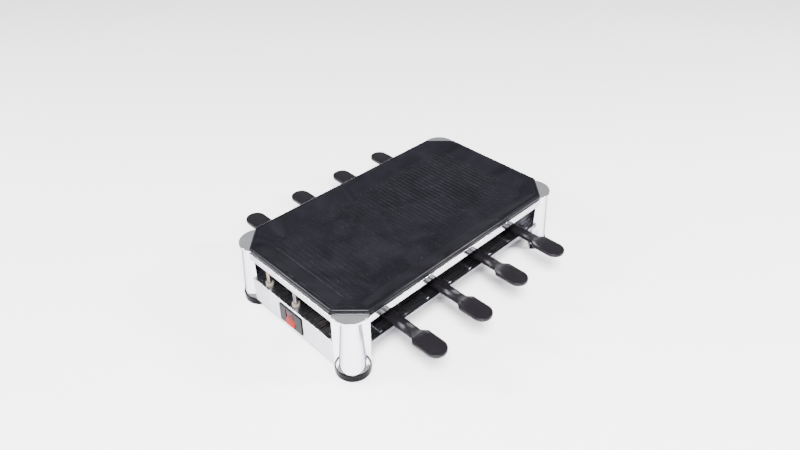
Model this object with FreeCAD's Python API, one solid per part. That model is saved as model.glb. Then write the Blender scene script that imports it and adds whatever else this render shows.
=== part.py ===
import FreeCAD, Part
import math
import os

# Table-top raclette grill: an octagonal cast plate over a heating element,
# a chromed surround on four corner posts, and four pans on each long side.
# Millimetres. X runs along the grill, Y across it, Z up, and the origin is
# on the table under the middle of the grill. The switch is at the -X end.

Vector = FreeCAD.Vector
ROOT2 = math.sqrt(2.0)
UP = Vector(0, 0, 1)

# Plan of the chromed surround
BODY_LENGTH = 460.0
BODY_WIDTH = 262.0
CORNER_CUT = 37.5

# Stack of heights, from the table up
FOOT_HEIGHT = 12.5
SHELF_HEIGHT = 56.0
WINDOW_HEIGHT = 38.0
RAIL_HEIGHT = 11.5
CAP_RISE = 3.5
RIM_RISE = 5.5

# Clearances
FIT_GAP = 0.2
SLIDE_GAP = 0.1
PLATE_GAP = 0.3
SCREW_PLAY = 0.05
CUT_PAST = 1.0

# Surround rails, pressed as channels that hook over the carrier
RAIL_SHEET = 1.5
RAIL_FLANGE = 6.0

# Corner posts
CAP_AXIS_INSET = 8.5
POST_CAP = 3.5
COLUMN_AXIS = 3.2
COLUMN_TOP_RADIUS = 13.3
COLUMN_FOOT_RADIUS = 19.8
POST_WING = 6.0
POST_WALL = 2.5
SKIRT_HEIGHT = 4.0
SKIRT_LEDGE = 1.8
SKIRT_TAPER = 3.0
BOSS_OFFSET = 5.0
BOSS_RADIUS = 5.0
BOSS_HEIGHT = 24.0

# Feet
FOOT_FLARE = 1.2
FOOT_EDGE = 2.0
FOOT_RECESS_RADIUS = 5.5
FOOT_RECESS = 6.0
FOOT_THREAD_SPARE = 2.0

# Carrier frame behind the rails
CARRIER_SHEET = 1.5
CARRIER_FLANGE = 11.0
CARRIER_SEAT_DROP = 3.5
CARRIER_NOTCH = 1.0

# Cooking plate
PLATE_INSET = 1.0
PLATE_THICKNESS = 4.5
PLATE_DEPTH = 10.0
PLATE_RIM = 10.0
PLATE_SLOPE = 23.0
PLATE_CORNER = 5.0
PLATE_EDGE = 4.0
DISH_CORNER = 2.5
EDGE_GAP = 1.8
GROOVE_START = 5.5
GROOVE_WIDTH = 2.5
GROOVE_DEPTH = 1.2
RIB_PITCH = 8.0
RIB_HEIGHT = 1.2
RIB_WIDTH = 2.4
RIB_MARGIN = 3.0
LUG_SIZE = 7.5
LUG_SPACING = 150.0

# Shelf under the pans
SHELF_SHEET = 1.2
SHELF_SKIRT = 7.0
RUNNER_HEIGHT = 1.2
RUNNER_WIDTH = 5.0
RUNNER_SPACING = 50.0
CORNER_TAB_WIDTH = 36.0
CORNER_TAB_DEPTH = 16.0

# End panels
PANEL_HEIGHT = 43.0
PANEL_SHEET = 1.2
PANEL_FLANGE = 10.0
PANEL_TAB = 12.0
PANEL_SCREW_MARGIN = 51.0
PANEL_SCREW_INSET = 6.5

# Heating element
TUBE_RADIUS = 3.4
TUBE_DROP = 5.2
TUBE_OUTER_MARGIN = 67.0
TUBE_INNER_RUN = 22.0
TUBE_RIGHT_INSET = 43.0
TUBE_LEFT_INSET = 34.0
TUBE_INNER_LEFT_INSET = 65.0
TUBE_LEG_INSET = 10.0
TUBE_LEG_B_Y = 0.0
TUBE_LEG_BELOW = 5.4
TUBE_BEND = 11.0
PIN_RADIUS = 1.2
PIN_LENGTH = 13.5
PIN_RISE = 1.6
BUSH_RADIUS = 6.0
BUSH_FLANGE_RADIUS = 7.5
BUSH_FLANGE = 2.0
BUSH_RISE = 4.0

# Straps that carry the element across the frame
STRAP_WIDTH = 12.0
STRAP_SHEET = 1.2
STRAP_SPACING = 120.0
STRAP_EAR_HEIGHT = 4.0
STRAP_FOOT = 9.0

# Pans and handles
PANS_PER_SIDE = 4
BAY_MARGIN = 38.0
PAN_SPACE = 13.0
PUSHED_IN = 9.0
PAN_FRONT_INSET = 27.0
PAN_REAR_GAP = 16.0
PAN_FRONT_CUT = 26.0
PAN_REAR_CUT = 8.0
PAN_HEIGHT = 15.0
PAN_SHEET = 1.0
PAN_DRAFT = 4.0
PAN_RIM = 2.0
PAN_CORNER = 3.5
TANG_WIDTH = 12.0
TANG_SHEET = 2.0
TANG_LENGTH = 26.0
TANG_RISE = 7.0
HANDLE_REACH = 92.0
NECK_WIDTH = 19.0
NECK_SIDE = 6.5
NECK_RIDGE = 3.0
NECK_RIDGE_WIDTH = 8.0
NECK_BELOW_TANG = 2.4
PADDLE_WIDTH = 33.0
PADDLE_LENGTH = 53.0
PADDLE_THICKNESS = 5.5
PADDLE_EDGE = 1.5
SHOULDER_LENGTH = 8.0
SCREW_SETBACK = 12.0
THREAD_ABOVE_TANG = 2.2
COUNTERBORE = 1.0

# Rocker switch
SWITCH_Y = 2.0
SWITCH_DROP = 21.3
BEZEL_WIDTH = 52.5
BEZEL_HEIGHT = 33.0
BEZEL_PROUD = 1.5
BEZEL_CORNER = 1.5
BEZEL_EDGE = 0.5
SWITCH_WIDTH = 46.0
SWITCH_HEIGHT = 28.6
SWITCH_DEPTH = 24.0
SWITCH_BACK = 2.0
ROCKER_WIDTH = 21.0
ROCKER_SWING_RADIUS = 12.5
ROCKER_DISH = 1.7
ROCKER_LEAN = 5.5
ROCKER_BACK = 6.0
ROCKER_BACK_HALF = 5.0
ROCKER_OFFSET = 3.0
ROCKER_GAP = 0.35
ROCKER_PIN_RADIUS = 1.5
ROCKER_PIN_LENGTH = 2.5
PIN_PLAY = 0.05
LAMP_RADIUS = 2.0
LAMP_LENGTH = 12.0

# Wiring box under the shelf, behind the switch
BOX_SHEET = 1.2
BOX_DEPTH = 37.5
BOX_START = 12.5
BOX_LENGTH = 58.0
BOX_LOW_Y = -38.0
BOX_PAST_LEG = 12.0
BOX_TAB = 9.0
GLAND_BORE = 3.6
GLAND_RADIUS = 6.5
GLAND_FLANGE = 9.0
GLAND_FLANGE_THICKNESS = 2.5
GLAND_INSIDE = 5.0
GLAND_FROM_BACK = 20.0
BLOCK_WIDTH = 32.0
BLOCK_HEIGHT = 15.0
BLOCK_DEPTH = 12.0
BLOCK_Y = -14.0
BLOCK_WELL = 2.0
CUTOUT_RADIUS = 8.0
CUTOUT_HEIGHT = 7.0
CUTOUT_INSET = 42.0
CUTOUT_FROM_LEG = 28.0
CUTOUT_TAG = 3.5
CUTOUT_TAG_WIDTH = 4.0
CUTOUT_TAG_SHEET = 0.8
LEAD_RADIUS = 1.1
LEAD_BEND = 5.0
LEAD_STEP = 14.0
EARTH_CLEARANCE = 7.5

# Screws
SCREW_RADIUS = 1.5
SCREW_HEAD_RADIUS = 2.8
SCREW_HEAD = 2.0
LARGE_SCREW_RADIUS = 2.0
LARGE_HEAD_RADIUS = 3.8
LARGE_HEAD = 2.6
LARGE_SCREW_LENGTH = 14.0
DRIVE_DEPTH = 0.5
DRIVE_MOUTH = 0.8
DRIVE_TIP = 0.3

# Levels and places that follow from the sizes above
half_length = BODY_LENGTH / 2
half_width = BODY_WIDTH / 2
shelf_under = SHELF_HEIGHT - SHELF_SHEET
panel_bottom = SHELF_HEIGHT - PANEL_HEIGHT
switch_z = shelf_under - SWITCH_DROP
tube_leg_end = shelf_under - TUBE_LEG_BELOW
rail_bottom = SHELF_HEIGHT + WINDOW_HEIGHT
rail_top = rail_bottom + RAIL_HEIGHT
cap_top = rail_top + CAP_RISE
rim_top = cap_top + RIM_RISE
plate_floor = rim_top - PLATE_DEPTH
plate_under = plate_floor - PLATE_THICKNESS
seat_level = rail_top - CARRIER_SEAT_DROP
tube_level = plate_under - TUBE_DROP
chamfer_half = CORNER_CUT / ROOT2
band_inset = RAIL_SHEET + FIT_GAP
corner_inset = POST_WING + FIT_GAP
screw_hole = SCREW_RADIUS + SCREW_PLAY
large_screw_hole = LARGE_SCREW_RADIUS + SCREW_PLAY
pan_pitch = (BODY_LENGTH - 2 * BAY_MARGIN) / PANS_PER_SIDE
pan_width = pan_pitch - PAN_SPACE
pan_level = SHELF_HEIGHT + RUNNER_HEIGHT + SLIDE_GAP
pan_top = pan_level + PAN_HEIGHT
tang_level = pan_level + TANG_RISE
pan_front = half_width - PAN_FRONT_INSET
pan_rear = PAN_REAR_GAP / 2
tang_end = pan_front + TANG_LENGTH
tube_outer_y = half_width - TUBE_OUTER_MARGIN
leg_x = TUBE_LEG_INSET - half_length
cutout_x = CUTOUT_INSET - half_length
cutout_y = tube_outer_y - CUTOUT_FROM_LEG
box_high_y = tube_outer_y + BOX_PAST_LEG
box_floor = shelf_under - BOX_DEPTH
box_near_x = -half_length + BOX_START
box_far_x = box_near_x + BOX_LENGTH
pivot_x = -half_length - BEZEL_PROUD + ROCKER_OFFSET


def box(x0, x1, y0, y1, z0, z1):
    """Block between two corners."""
    return Part.makeBox(x1 - x0, y1 - y0, z1 - z0, Vector(x0, y0, z0))


def rod(radius, height, base, direction=UP):
    """Cylinder from a base point along a direction."""
    return Part.makeCylinder(radius, height, base, direction)


def hole(radius, depth, base, direction=UP):
    """Cutting cylinder through a sheet, run past both of its faces."""
    return rod(radius, depth + 2 * CUT_PAST, base - direction * CUT_PAST, direction)


def prism(points, z0, z1):
    """Upright prism over a closed plan outline."""
    corners = [Vector(x, y, z0) for x, y in points]
    wire = Part.makePolygon(corners + corners[:1])
    return Part.Face(wire).extrude(Vector(0, 0, z1 - z0))


def profile_along_y(points, y0, y1):
    """Prism along Y over an outline in X and Z."""
    corners = [Vector(x, y0, z) for x, z in points]
    wire = Part.makePolygon(corners + corners[:1])
    return Part.Face(wire).extrude(Vector(0, y1 - y0, 0))


def octagon(inset_x, inset_y, inset_corner):
    """Corners of the body's plan, drawn in on the ends, sides and cut corners."""
    x = half_length - inset_x
    y = half_width - inset_y
    reach = half_length + half_width - CORNER_CUT - inset_corner * ROOT2
    quarter = [(x, reach - x), (reach - y, y)]
    points = []
    for px, py in quarter:
        points.append((px, py))
    for px, py in reversed(quarter):
        points.append((-px, py))
    for px, py in quarter:
        points.append((-px, -py))
    for px, py in reversed(quarter):
        points.append((px, -py))
    return points


def even_octagon(inset):
    """Plan drawn in by the same amount on every side."""
    return octagon(inset, inset, inset)


def outline_wire(points, z, radius):
    """Closed wire through plan points with a round of one radius at each corner."""
    edges = []
    ends = []
    count = len(points)
    for index in range(count):
        here = Vector(points[index][0], points[index][1], z)
        before = Vector(points[index - 1][0], points[index - 1][1], z) - here
        after_point = points[(index + 1) % count]
        after = Vector(after_point[0], after_point[1], z) - here
        half_turn = before.getAngle(after) / 2
        before.normalize()
        after.normalize()
        setback = radius / math.tan(half_turn)
        middle = (before + after).normalize()
        centre = here + middle * (radius / math.sin(half_turn))
        start = here + before * setback
        end = here + after * setback
        edges.append(Part.Arc(start, centre - middle * radius, end).toShape())
        ends.append((start, end))
    lines = []
    for index in range(count):
        start = ends[index][1]
        end = ends[(index + 1) % count][0]
        lines.append(Part.LineSegment(start, end).toShape())
    ordered = []
    for arc, line in zip(edges, lines):
        ordered += [arc, line]
    return Part.Wire(ordered)


def taper(lower, z0, upper, z1, radius):
    """Solid between two rounded plan outlines at different heights."""
    wires = [outline_wire(lower, z0, radius), outline_wire(upper, z1, radius)]
    return Part.makeLoft(wires, True, True)


def bent_path(points, radius):
    """Wire of straight runs joined by tangent arcs of one radius."""
    edges = []
    last = points[0]
    for before, here, after in zip(points, points[1:], points[2:]):
        back = (before - here).normalize()
        ahead = (after - here).normalize()
        half_turn = back.getAngle(ahead) / 2
        setback = radius / math.tan(half_turn)
        middle = (back + ahead).normalize()
        centre = here + middle * (radius / math.sin(half_turn))
        start = here + back * setback
        end = here + ahead * setback
        edges.append(Part.LineSegment(last, start).toShape())
        edges.append(Part.Arc(start, centre - middle * radius, end).toShape())
        last = end
    edges.append(Part.LineSegment(last, points[-1]).toShape())
    return Part.Wire(edges)


def tube_along(points, bend, radius):
    """Round bar swept along a bent path."""
    path = bent_path(points, bend)
    start = points[0]
    direction = points[1] - points[0]
    section = Part.Wire(Part.makeCircle(radius, start, direction))
    return path.makePipeShell([section], True, False)


def join(shapes):
    """One solid from touching or crossing shapes."""
    whole = shapes[0].multiFuse(shapes[1:])
    return whole.removeSplitter()


def side_strip(depth_out, depth_in, z0, z1):
    """Strip along the front side between two posts, its ends cut to the posts' sides."""
    corner = half_length - CORNER_CUT - FIT_GAP
    outer = corner - depth_out
    inner = corner - depth_in
    points = [
        (-outer, depth_out - half_width),
        (outer, depth_out - half_width),
        (inner, depth_in - half_width),
        (-inner, depth_in - half_width),
    ]
    return prism(points, z0, z1)


def end_strip(depth_out, depth_in, z0, z1):
    """Strip along the right end between two posts, its ends cut to the posts' sides."""
    corner = half_width - CORNER_CUT - FIT_GAP
    outer = corner - depth_out
    inner = corner - depth_in
    points = [
        (half_length - depth_out, -outer),
        (half_length - depth_out, outer),
        (half_length - depth_in, inner),
        (half_length - depth_in, -inner),
    ]
    return prism(points, z0, z1)


def turned(shape, degrees):
    """Copy of a shape turned about the upright axis through the origin."""
    copy = shape.copy()
    copy.rotate(Vector(0, 0, 0), UP, degrees)
    return copy


def at_corner(shape, sign_x, sign_y):
    """Copy of a shape drawn at the origin, facing outwards from a cut corner."""
    copy = shape.copy()
    copy.rotate(Vector(0, 0, 0), UP, math.degrees(math.atan2(sign_y, sign_x)))
    middle_x = sign_x * (half_length - CORNER_CUT / 2)
    middle_y = sign_y * (half_width - CORNER_CUT / 2)
    copy.translate(Vector(middle_x, middle_y, 0))
    return copy


def screw(radius, head_radius, head, length, base, direction):
    """Pan-head screw: base is the seat under the head, direction points to the tip."""
    crown = base - direction * head
    body = join([rod(head_radius, head, crown, direction), rod(radius, length, base, direction)])
    mouth = radius * DRIVE_MOUTH
    recess = Part.makeCone(mouth, radius * DRIVE_TIP, head * DRIVE_DEPTH, crown, direction)
    return body.cut(recess)


# Surround


def rail(strip):
    """Channel with a polished web and two flanges turned inwards."""
    web = strip(0, RAIL_SHEET, rail_bottom, rail_top)
    top = strip(0, RAIL_FLANGE, rail_top - RAIL_SHEET, rail_top)
    bottom = strip(0, RAIL_FLANGE, rail_bottom, rail_bottom + RAIL_SHEET)
    return join([web, top, bottom])


def outside_of(cut_at, round_body):
    """Part of a round body at a cut corner that lies outside a flat inner face."""
    reach = CORNER_CUT * 2
    return round_body.common(box(cut_at, reach, -reach, reach, 0, rim_top))


def column_cone(wall):
    """Flared round of the post, drawn in by a wall thickness."""
    low = COLUMN_FOOT_RADIUS - wall
    high = COLUMN_TOP_RADIUS - wall
    height = cap_top - POST_CAP - FOOT_HEIGHT
    return Part.makeCone(low, high, height, Vector(COLUMN_AXIS, 0, FOOT_HEIGHT), UP)


def corner_post():
    """Chromed hollow casting with a flat cap, a flared column, two wings and a low skirt."""
    cap_radius = math.hypot(chamfer_half, CAP_AXIS_INSET)
    cap_base = Vector(-CAP_AXIS_INSET, 0, cap_top - POST_CAP)
    cap = outside_of(0, rod(cap_radius, POST_CAP, cap_base))
    column = outside_of(-POST_WING, column_cone(0))
    wing = box(-POST_WING, 0, -chamfer_half, chamfer_half, FOOT_HEIGHT, cap_top)
    hollow = outside_of(POST_WALL - POST_WING, column_cone(POST_WALL))
    skirt_radius = foot_radius() - SKIRT_LEDGE
    skirt_base = Vector(foot_axis(), 0, FOOT_HEIGHT)
    skirt = Part.makeCone(skirt_radius, skirt_radius - SKIRT_TAPER, SKIRT_HEIGHT, skirt_base, UP)
    skirt = outside_of(-POST_WING, skirt)
    shell = join([cap, column, wing, skirt]).cut(hollow)
    boss_base = Vector(BOSS_OFFSET, 0, FOOT_HEIGHT)
    boss = rod(BOSS_RADIUS, BOSS_HEIGHT, boss_base)
    half_web = POST_WALL / 2
    web = box(-POST_WING, BOSS_OFFSET, -half_web, half_web, FOOT_HEIGHT, FOOT_HEIGHT + BOSS_HEIGHT)
    post = join([shell, boss, web])
    post = post.cut(rod(large_screw_hole, LARGE_SCREW_LENGTH, boss_base))
    for level in corner_screw_levels():
        start = Vector(-POST_WING, 0, level)
        post = post.cut(hole(large_screw_hole, POST_WALL, start, Vector(1, 0, 0)))
    return post


def corner_screw_levels():
    """Heights of the two screws that fasten each post to the carrier and the shelf."""
    carrier_middle = (rail_bottom + rail_top) / 2
    tab_middle = shelf_under - CORNER_TAB_DEPTH / 2
    return [carrier_middle, tab_middle]


def corner_screw(level, sheet):
    """Screw from inside the frame, through a sheet and into the post."""
    seat = Vector(-corner_inset - sheet, 0, level)
    length = sheet + corner_inset - CUT_PAST
    return screw(LARGE_SCREW_RADIUS, LARGE_HEAD_RADIUS, LARGE_HEAD, length, seat, Vector(1, 0, 0))


def foot_reach():
    """Distance from the cut corner to the outermost point of the foot."""
    return COLUMN_AXIS + COLUMN_FOOT_RADIUS + FOOT_FLARE


def foot_radius():
    """Radius of the arc through the foot's outermost point and the wings' ends."""
    return (chamfer_half ** 2 + foot_reach() ** 2) / (2 * foot_reach())


def foot_axis():
    """Place of the arc's axis, measured outwards from the cut corner."""
    return foot_reach() - foot_radius()


def foot():
    """Rubber foot that stands out past the column's flare, with a recess for its screw."""
    block = outside_of(-POST_WING, rod(foot_radius(), FOOT_HEIGHT, Vector(foot_axis(), 0, 0)))
    lower = [edge for edge in block.Edges if edge.BoundBox.ZMax < FOOT_HEIGHT / 2]
    block = block.makeFillet(FOOT_EDGE, lower)
    centre = Vector(BOSS_OFFSET, 0, 0)
    block = block.cut(rod(FOOT_RECESS_RADIUS, FOOT_RECESS, centre))
    return block.cut(hole(large_screw_hole, FOOT_HEIGHT, centre))


def foot_screw():
    """Screw from the foot's recess up into the post's boss."""
    seat = Vector(BOSS_OFFSET, 0, FOOT_RECESS)
    length = FOOT_HEIGHT - FOOT_RECESS + LARGE_SCREW_LENGTH - FOOT_THREAD_SPARE
    return screw(LARGE_SCREW_RADIUS, LARGE_HEAD_RADIUS, LARGE_HEAD, length, seat, UP)


# Carrier frame, element and straps


def plate_carrier():
    """Octagonal steel frame behind the rails, with the notched flange that the plate rests on."""
    low = rail_bottom + RAIL_SHEET + FIT_GAP
    high = rail_top - RAIL_SHEET - FIT_GAP
    inner_side = band_inset + CARRIER_SHEET
    inner_corner = corner_inset + CARRIER_SHEET
    outer = octagon(band_inset, band_inset, corner_inset)
    inner = octagon(inner_side, inner_side, inner_corner)
    edge = octagon(inner_side + CARRIER_FLANGE, inner_side + CARRIER_FLANGE, inner_corner + CARRIER_FLANGE)
    frame = prism(outer, low, high).cut(prism(inner, low, high))
    flange = prism(outer, seat_level - CARRIER_SHEET, seat_level)
    flange = flange.cut(prism(edge, seat_level - CARRIER_SHEET, seat_level))
    half_notch = LARGE_HEAD_RADIUS + CARRIER_NOTCH
    inside = -corner_inset - CARRIER_SHEET
    low_flange = seat_level - CARRIER_SHEET
    notch = box(inside - CORNER_CUT, inside, -half_notch, half_notch, low_flange, seat_level)
    for sign_x in (-1, 1):
        for sign_y in (-1, 1):
            flange = flange.cut(at_corner(notch, sign_x, sign_y))
    frame = join([frame, flange])
    level = corner_screw_levels()[0]
    for sign_x in (-1, 1):
        for sign_y in (-1, 1):
            frame = frame.cut(at_corner(corner_hole(level, CARRIER_SHEET), sign_x, sign_y))
    for x in strap_places():
        for side in (-1, 1):
            start = Vector(x, side * strap_screw_y(), seat_level - CARRIER_SHEET)
            frame = frame.cut(hole(screw_hole, CARRIER_SHEET, start))
    return frame


def strap_places():
    """Positions along the grill of the three straps."""
    return [-STRAP_SPACING, 0.0, STRAP_SPACING]


def strap_screw_y():
    """Distance from the middle line to a strap's screw."""
    return half_width - band_inset - CARRIER_SHEET - CARRIER_FLANGE / 2


def strap(x):
    """Strap across the frame with raised ends and ears beside each run of the tube."""
    top = tube_level - TUBE_RADIUS
    low = top - STRAP_SHEET
    ceiling = seat_level - CARRIER_SHEET
    outside = strap_screw_y() + STRAP_FOOT / 2
    inside = strap_screw_y() - STRAP_FOOT / 2
    x0 = x - STRAP_WIDTH / 2
    x1 = x + STRAP_WIDTH / 2
    pieces = [box(x0, x1, -inside, inside, low, top)]
    for side in (-1, 1):
        leg = sorted([side * inside, side * (inside - STRAP_SHEET)])
        ledge = sorted([side * (inside - STRAP_SHEET), side * outside])
        pieces.append(box(x0, x1, leg[0], leg[1], low, ceiling))
        pieces.append(box(x0, x1, ledge[0], ledge[1], ceiling - STRAP_SHEET, ceiling))
    for run in (-tube_outer_y, -TUBE_INNER_RUN, TUBE_INNER_RUN, tube_outer_y):
        for side in (-1, 1):
            near = run + side * (TUBE_RADIUS + FIT_GAP)
            far = run + side * (TUBE_RADIUS + FIT_GAP + STRAP_SHEET)
            ear = sorted([near, far])
            pieces.append(box(x0, x1, ear[0], ear[1], low, top + STRAP_EAR_HEIGHT))
    body = join(pieces)
    for side in (-1, 1):
        start = Vector(x, side * strap_screw_y(), ceiling - STRAP_SHEET)
        body = body.cut(hole(screw_hole, STRAP_SHEET, start))
    return body


def strap_screw_places():
    """Seats of the screws that hang the straps under the carrier's flange."""
    seat = seat_level - CARRIER_SHEET - STRAP_SHEET
    places = []
    for x in strap_places():
        for side in (-1, 1):
            places.append(Vector(x, side * strap_screw_y(), seat))
    return places


def element_route():
    """Points of the element's route, from one leg to the other."""
    z = tube_level
    right = half_length - TUBE_RIGHT_INSET
    left = TUBE_LEFT_INSET - half_length
    inner_left = TUBE_INNER_LEFT_INSET - half_length
    return [
        Vector(leg_x, tube_outer_y, tube_leg_end),
        Vector(leg_x, tube_outer_y, z),
        Vector(right, tube_outer_y, z),
        Vector(right, TUBE_INNER_RUN, z),
        Vector(inner_left, TUBE_INNER_RUN, z),
        Vector(inner_left, -TUBE_INNER_RUN, z),
        Vector(right, -TUBE_INNER_RUN, z),
        Vector(right, -tube_outer_y, z),
        Vector(left, -tube_outer_y, z),
        Vector(left, TUBE_LEG_B_Y, z),
        Vector(leg_x, TUBE_LEG_B_Y, z),
        Vector(leg_x, TUBE_LEG_B_Y, tube_leg_end),
    ]


def heating_element():
    """Sheathed tube in four runs, with a cold pin on the side of each leg."""
    tube = tube_along(element_route(), TUBE_BEND, TUBE_RADIUS)
    pieces = [tube]
    for y in (tube_outer_y, TUBE_LEG_B_Y):
        base = Vector(leg_x, y, tube_leg_end + PIN_RISE)
        pieces.append(rod(PIN_RADIUS, PIN_LENGTH, base, Vector(1, 0, 0)))
    return join(pieces)


def element_pin(y):
    """Free end of a leg's cold pin."""
    return Vector(leg_x + PIN_LENGTH, y, tube_leg_end + PIN_RISE)


def element_bush(y):
    """Ceramic bush that carries a leg through the shelf."""
    base = Vector(leg_x, y, shelf_under - BUSH_FLANGE)
    height = BUSH_FLANGE + SHELF_SHEET + BUSH_RISE
    body = join([rod(BUSH_RADIUS, height, base), rod(BUSH_FLANGE_RADIUS, BUSH_FLANGE, base)])
    return body.cut(hole(TUBE_RADIUS + SCREW_PLAY, height, base))


# Grill plate


def grill_plate():
    """Cast octagonal plate with a grooved rim, a sloping border and fine ribs."""
    low = cap_top + PLATE_GAP
    slab = prism(even_octagon(PLATE_INSET), low, rim_top)
    uprights = [edge for edge in slab.Edges if edge.BoundBox.ZLength > RIM_RISE / 2]
    slab = slab.makeFillet(PLATE_CORNER, uprights)
    rim_edges = [edge for edge in slab.Edges if edge.BoundBox.ZMin > (low + rim_top) / 2]
    slab = slab.makeFillet(PLATE_EDGE, rim_edges)
    floor_inset = PLATE_RIM + PLATE_SLOPE
    drop = (rim_top - low) * PLATE_SLOPE / PLATE_DEPTH
    tub_inset = PLATE_RIM + drop - PLATE_THICKNESS * PLATE_SLOPE / PLATE_DEPTH
    tub = taper(even_octagon(floor_inset), plate_under, even_octagon(tub_inset), low, DISH_CORNER)
    dish = taper(even_octagon(floor_inset), plate_floor, even_octagon(PLATE_RIM), rim_top, DISH_CORNER)
    groove = prism(even_octagon(GROOVE_START), rim_top - GROOVE_DEPTH, rim_top)
    groove_inner = even_octagon(GROOVE_START + GROOVE_WIDTH)
    groove = groove.cut(prism(groove_inner, rim_top - GROOVE_DEPTH, rim_top))
    plate = join([slab, tub, hanging_edge(low)]).cut(dish).cut(groove)
    return join([plate] + ribs() + lugs())


def hanging_edge(top):
    """Down-turned edge of the plate, over the rails and between the posts."""
    low = rail_top + PLATE_GAP
    outer = prism(even_octagon(PLATE_INSET), low, top)
    ring = outer.cut(prism(even_octagon(PLATE_INSET + PLATE_THICKNESS), low, top))
    reach = chamfer_half + EDGE_GAP
    post_room = box(-POST_WING - EDGE_GAP, CORNER_CUT, -reach, reach, low, top)
    for sign_x in (-1, 1):
        for sign_y in (-1, 1):
            ring = ring.cut(at_corner(post_room, sign_x, sign_y))
    return ring


def ribs():
    """Fine raised lines across the cooking floor."""
    edge = PLATE_RIM + PLATE_SLOPE + RIB_MARGIN
    field = prism(even_octagon(edge), plate_floor, plate_floor + RIB_HEIGHT)
    reach_x = half_length - edge
    count = int(reach_x / RIB_PITCH)
    lines = []
    for index in range(-count, count + 1):
        x = index * RIB_PITCH
        points = [
            (x - RIB_WIDTH / 2, plate_floor),
            (x - RIB_WIDTH / 4, plate_floor + RIB_HEIGHT),
            (x + RIB_WIDTH / 4, plate_floor + RIB_HEIGHT),
            (x + RIB_WIDTH / 2, plate_floor),
        ]
        line = profile_along_y(points, edge - half_width, half_width - edge)
        lines.append(line.common(field))
    return lines


def lugs():
    """Feet under the rim that stand on the carrier's flange and locate the plate."""
    outside = half_width - RAIL_FLANGE - PLATE_GAP
    top = rim_top - PLATE_THICKNESS
    blocks = []
    for x in (-LUG_SPACING, LUG_SPACING):
        for side in (-1, 1):
            edge = sorted([side * outside, side * (outside - LUG_SIZE)])
            block = box(x - LUG_SIZE, x + LUG_SIZE, edge[0], edge[1], seat_level, top)
            blocks.append(block)
    return blocks


# Shelf and end panels


def bay_centres():
    """Places of the pans along one side."""
    first = -(PANS_PER_SIDE - 1) / 2
    return [(first + index) * pan_pitch for index in range(PANS_PER_SIDE)]


def pan_shelf():
    """Polished sheet floor with folded skirts, corner tabs and pressed runners."""
    end_inset = PANEL_SHEET + SLIDE_GAP
    sheet = prism(octagon(end_inset, 0, corner_inset), shelf_under, SHELF_HEIGHT)
    edge = side_strip(0, RAIL_FLANGE, shelf_under, SHELF_HEIGHT)
    skirt = side_strip(0, SHELF_SHEET, SHELF_HEIGHT - SHELF_SKIRT, SHELF_HEIGHT)
    pieces = [sheet]
    for degrees in (0, 180):
        pieces.append(turned(edge, degrees))
        pieces.append(turned(skirt, degrees))
    tab_face = -corner_inset - SHELF_SHEET
    tab_half = CORNER_TAB_WIDTH / 2
    tab = box(tab_face, -corner_inset, -tab_half, tab_half, shelf_under - CORNER_TAB_DEPTH, SHELF_HEIGHT)
    tab = tab.cut(corner_hole(corner_screw_levels()[1], SHELF_SHEET))
    for sign_x in (-1, 1):
        for sign_y in (-1, 1):
            pieces.append(at_corner(tab, sign_x, sign_y))
    for x in bay_centres():
        for offset in (-RUNNER_SPACING / 2, RUNNER_SPACING / 2):
            for side in (-1, 1):
                pieces.append(runner(x + offset, side))
    shelf = join(pieces)
    for y in (tube_outer_y, TUBE_LEG_B_Y):
        start = Vector(leg_x, y, shelf_under)
        shelf = shelf.cut(hole(BUSH_RADIUS + SCREW_PLAY, SHELF_SHEET, start))
    for base in base_screw_places():
        start = Vector(base.x, base.y, shelf_under)
        shelf = shelf.cut(hole(screw_hole, SHELF_SHEET, start))
    return shelf


def corner_hole(level, sheet):
    """Hole for a corner screw through a sheet in front of the post."""
    return hole(large_screw_hole, sheet, Vector(-corner_inset - sheet, 0, level), Vector(1, 0, 0))


def runner(x, side):
    """Pressed ridge that a pan slides on."""
    near = pan_rear + PAN_DRAFT
    far = half_width - RUNNER_WIDTH
    ends = sorted([side * near, side * far])
    points = [
        (x - RUNNER_WIDTH / 2, SHELF_HEIGHT),
        (x - RUNNER_WIDTH / 4, SHELF_HEIGHT + RUNNER_HEIGHT),
        (x + RUNNER_WIDTH / 4, SHELF_HEIGHT + RUNNER_HEIGHT),
        (x + RUNNER_WIDTH / 2, SHELF_HEIGHT),
    ]
    return profile_along_y(points, ends[0], ends[1])


def base_screw_places():
    """Seats of the screws that hold the panels and the wiring box to the shelf."""
    seat = shelf_under - PANEL_SHEET
    places = []
    for side in (-1, 1):
        for sign_y in (-1, 1):
            x = side * (half_length - PANEL_SCREW_INSET)
            places.append(Vector(x, sign_y * panel_screw_y(), seat))
    middle_x = (box_near_x + box_far_x) / 2
    places.append(Vector(middle_x, BOX_LOW_Y - BOX_TAB / 2, seat))
    places.append(Vector(middle_x, box_high_y + BOX_TAB / 2, seat))
    places.append(Vector(box_far_x + BOX_TAB / 2, (BOX_LOW_Y + box_high_y) / 2, seat))
    return places


def panel_screw_y():
    """Distance from the middle line to an end panel's screw."""
    return half_width - PANEL_SCREW_MARGIN


def end_panel():
    """Chromed end panel with a stiffening flange below and a fixing tab above."""
    web = end_strip(0, PANEL_SHEET, panel_bottom, SHELF_HEIGHT)
    flange = end_strip(0, PANEL_FLANGE, panel_bottom, panel_bottom + PANEL_SHEET)
    tab = end_strip(0, PANEL_TAB, shelf_under - PANEL_SHEET, shelf_under)
    panel = join([web, flange, tab])
    for sign_y in (-1, 1):
        x = half_length - PANEL_SCREW_INSET
        start = Vector(x, sign_y * panel_screw_y(), shelf_under - PANEL_SHEET)
        panel = panel.cut(hole(screw_hole, PANEL_SHEET, start))
    return panel


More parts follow.
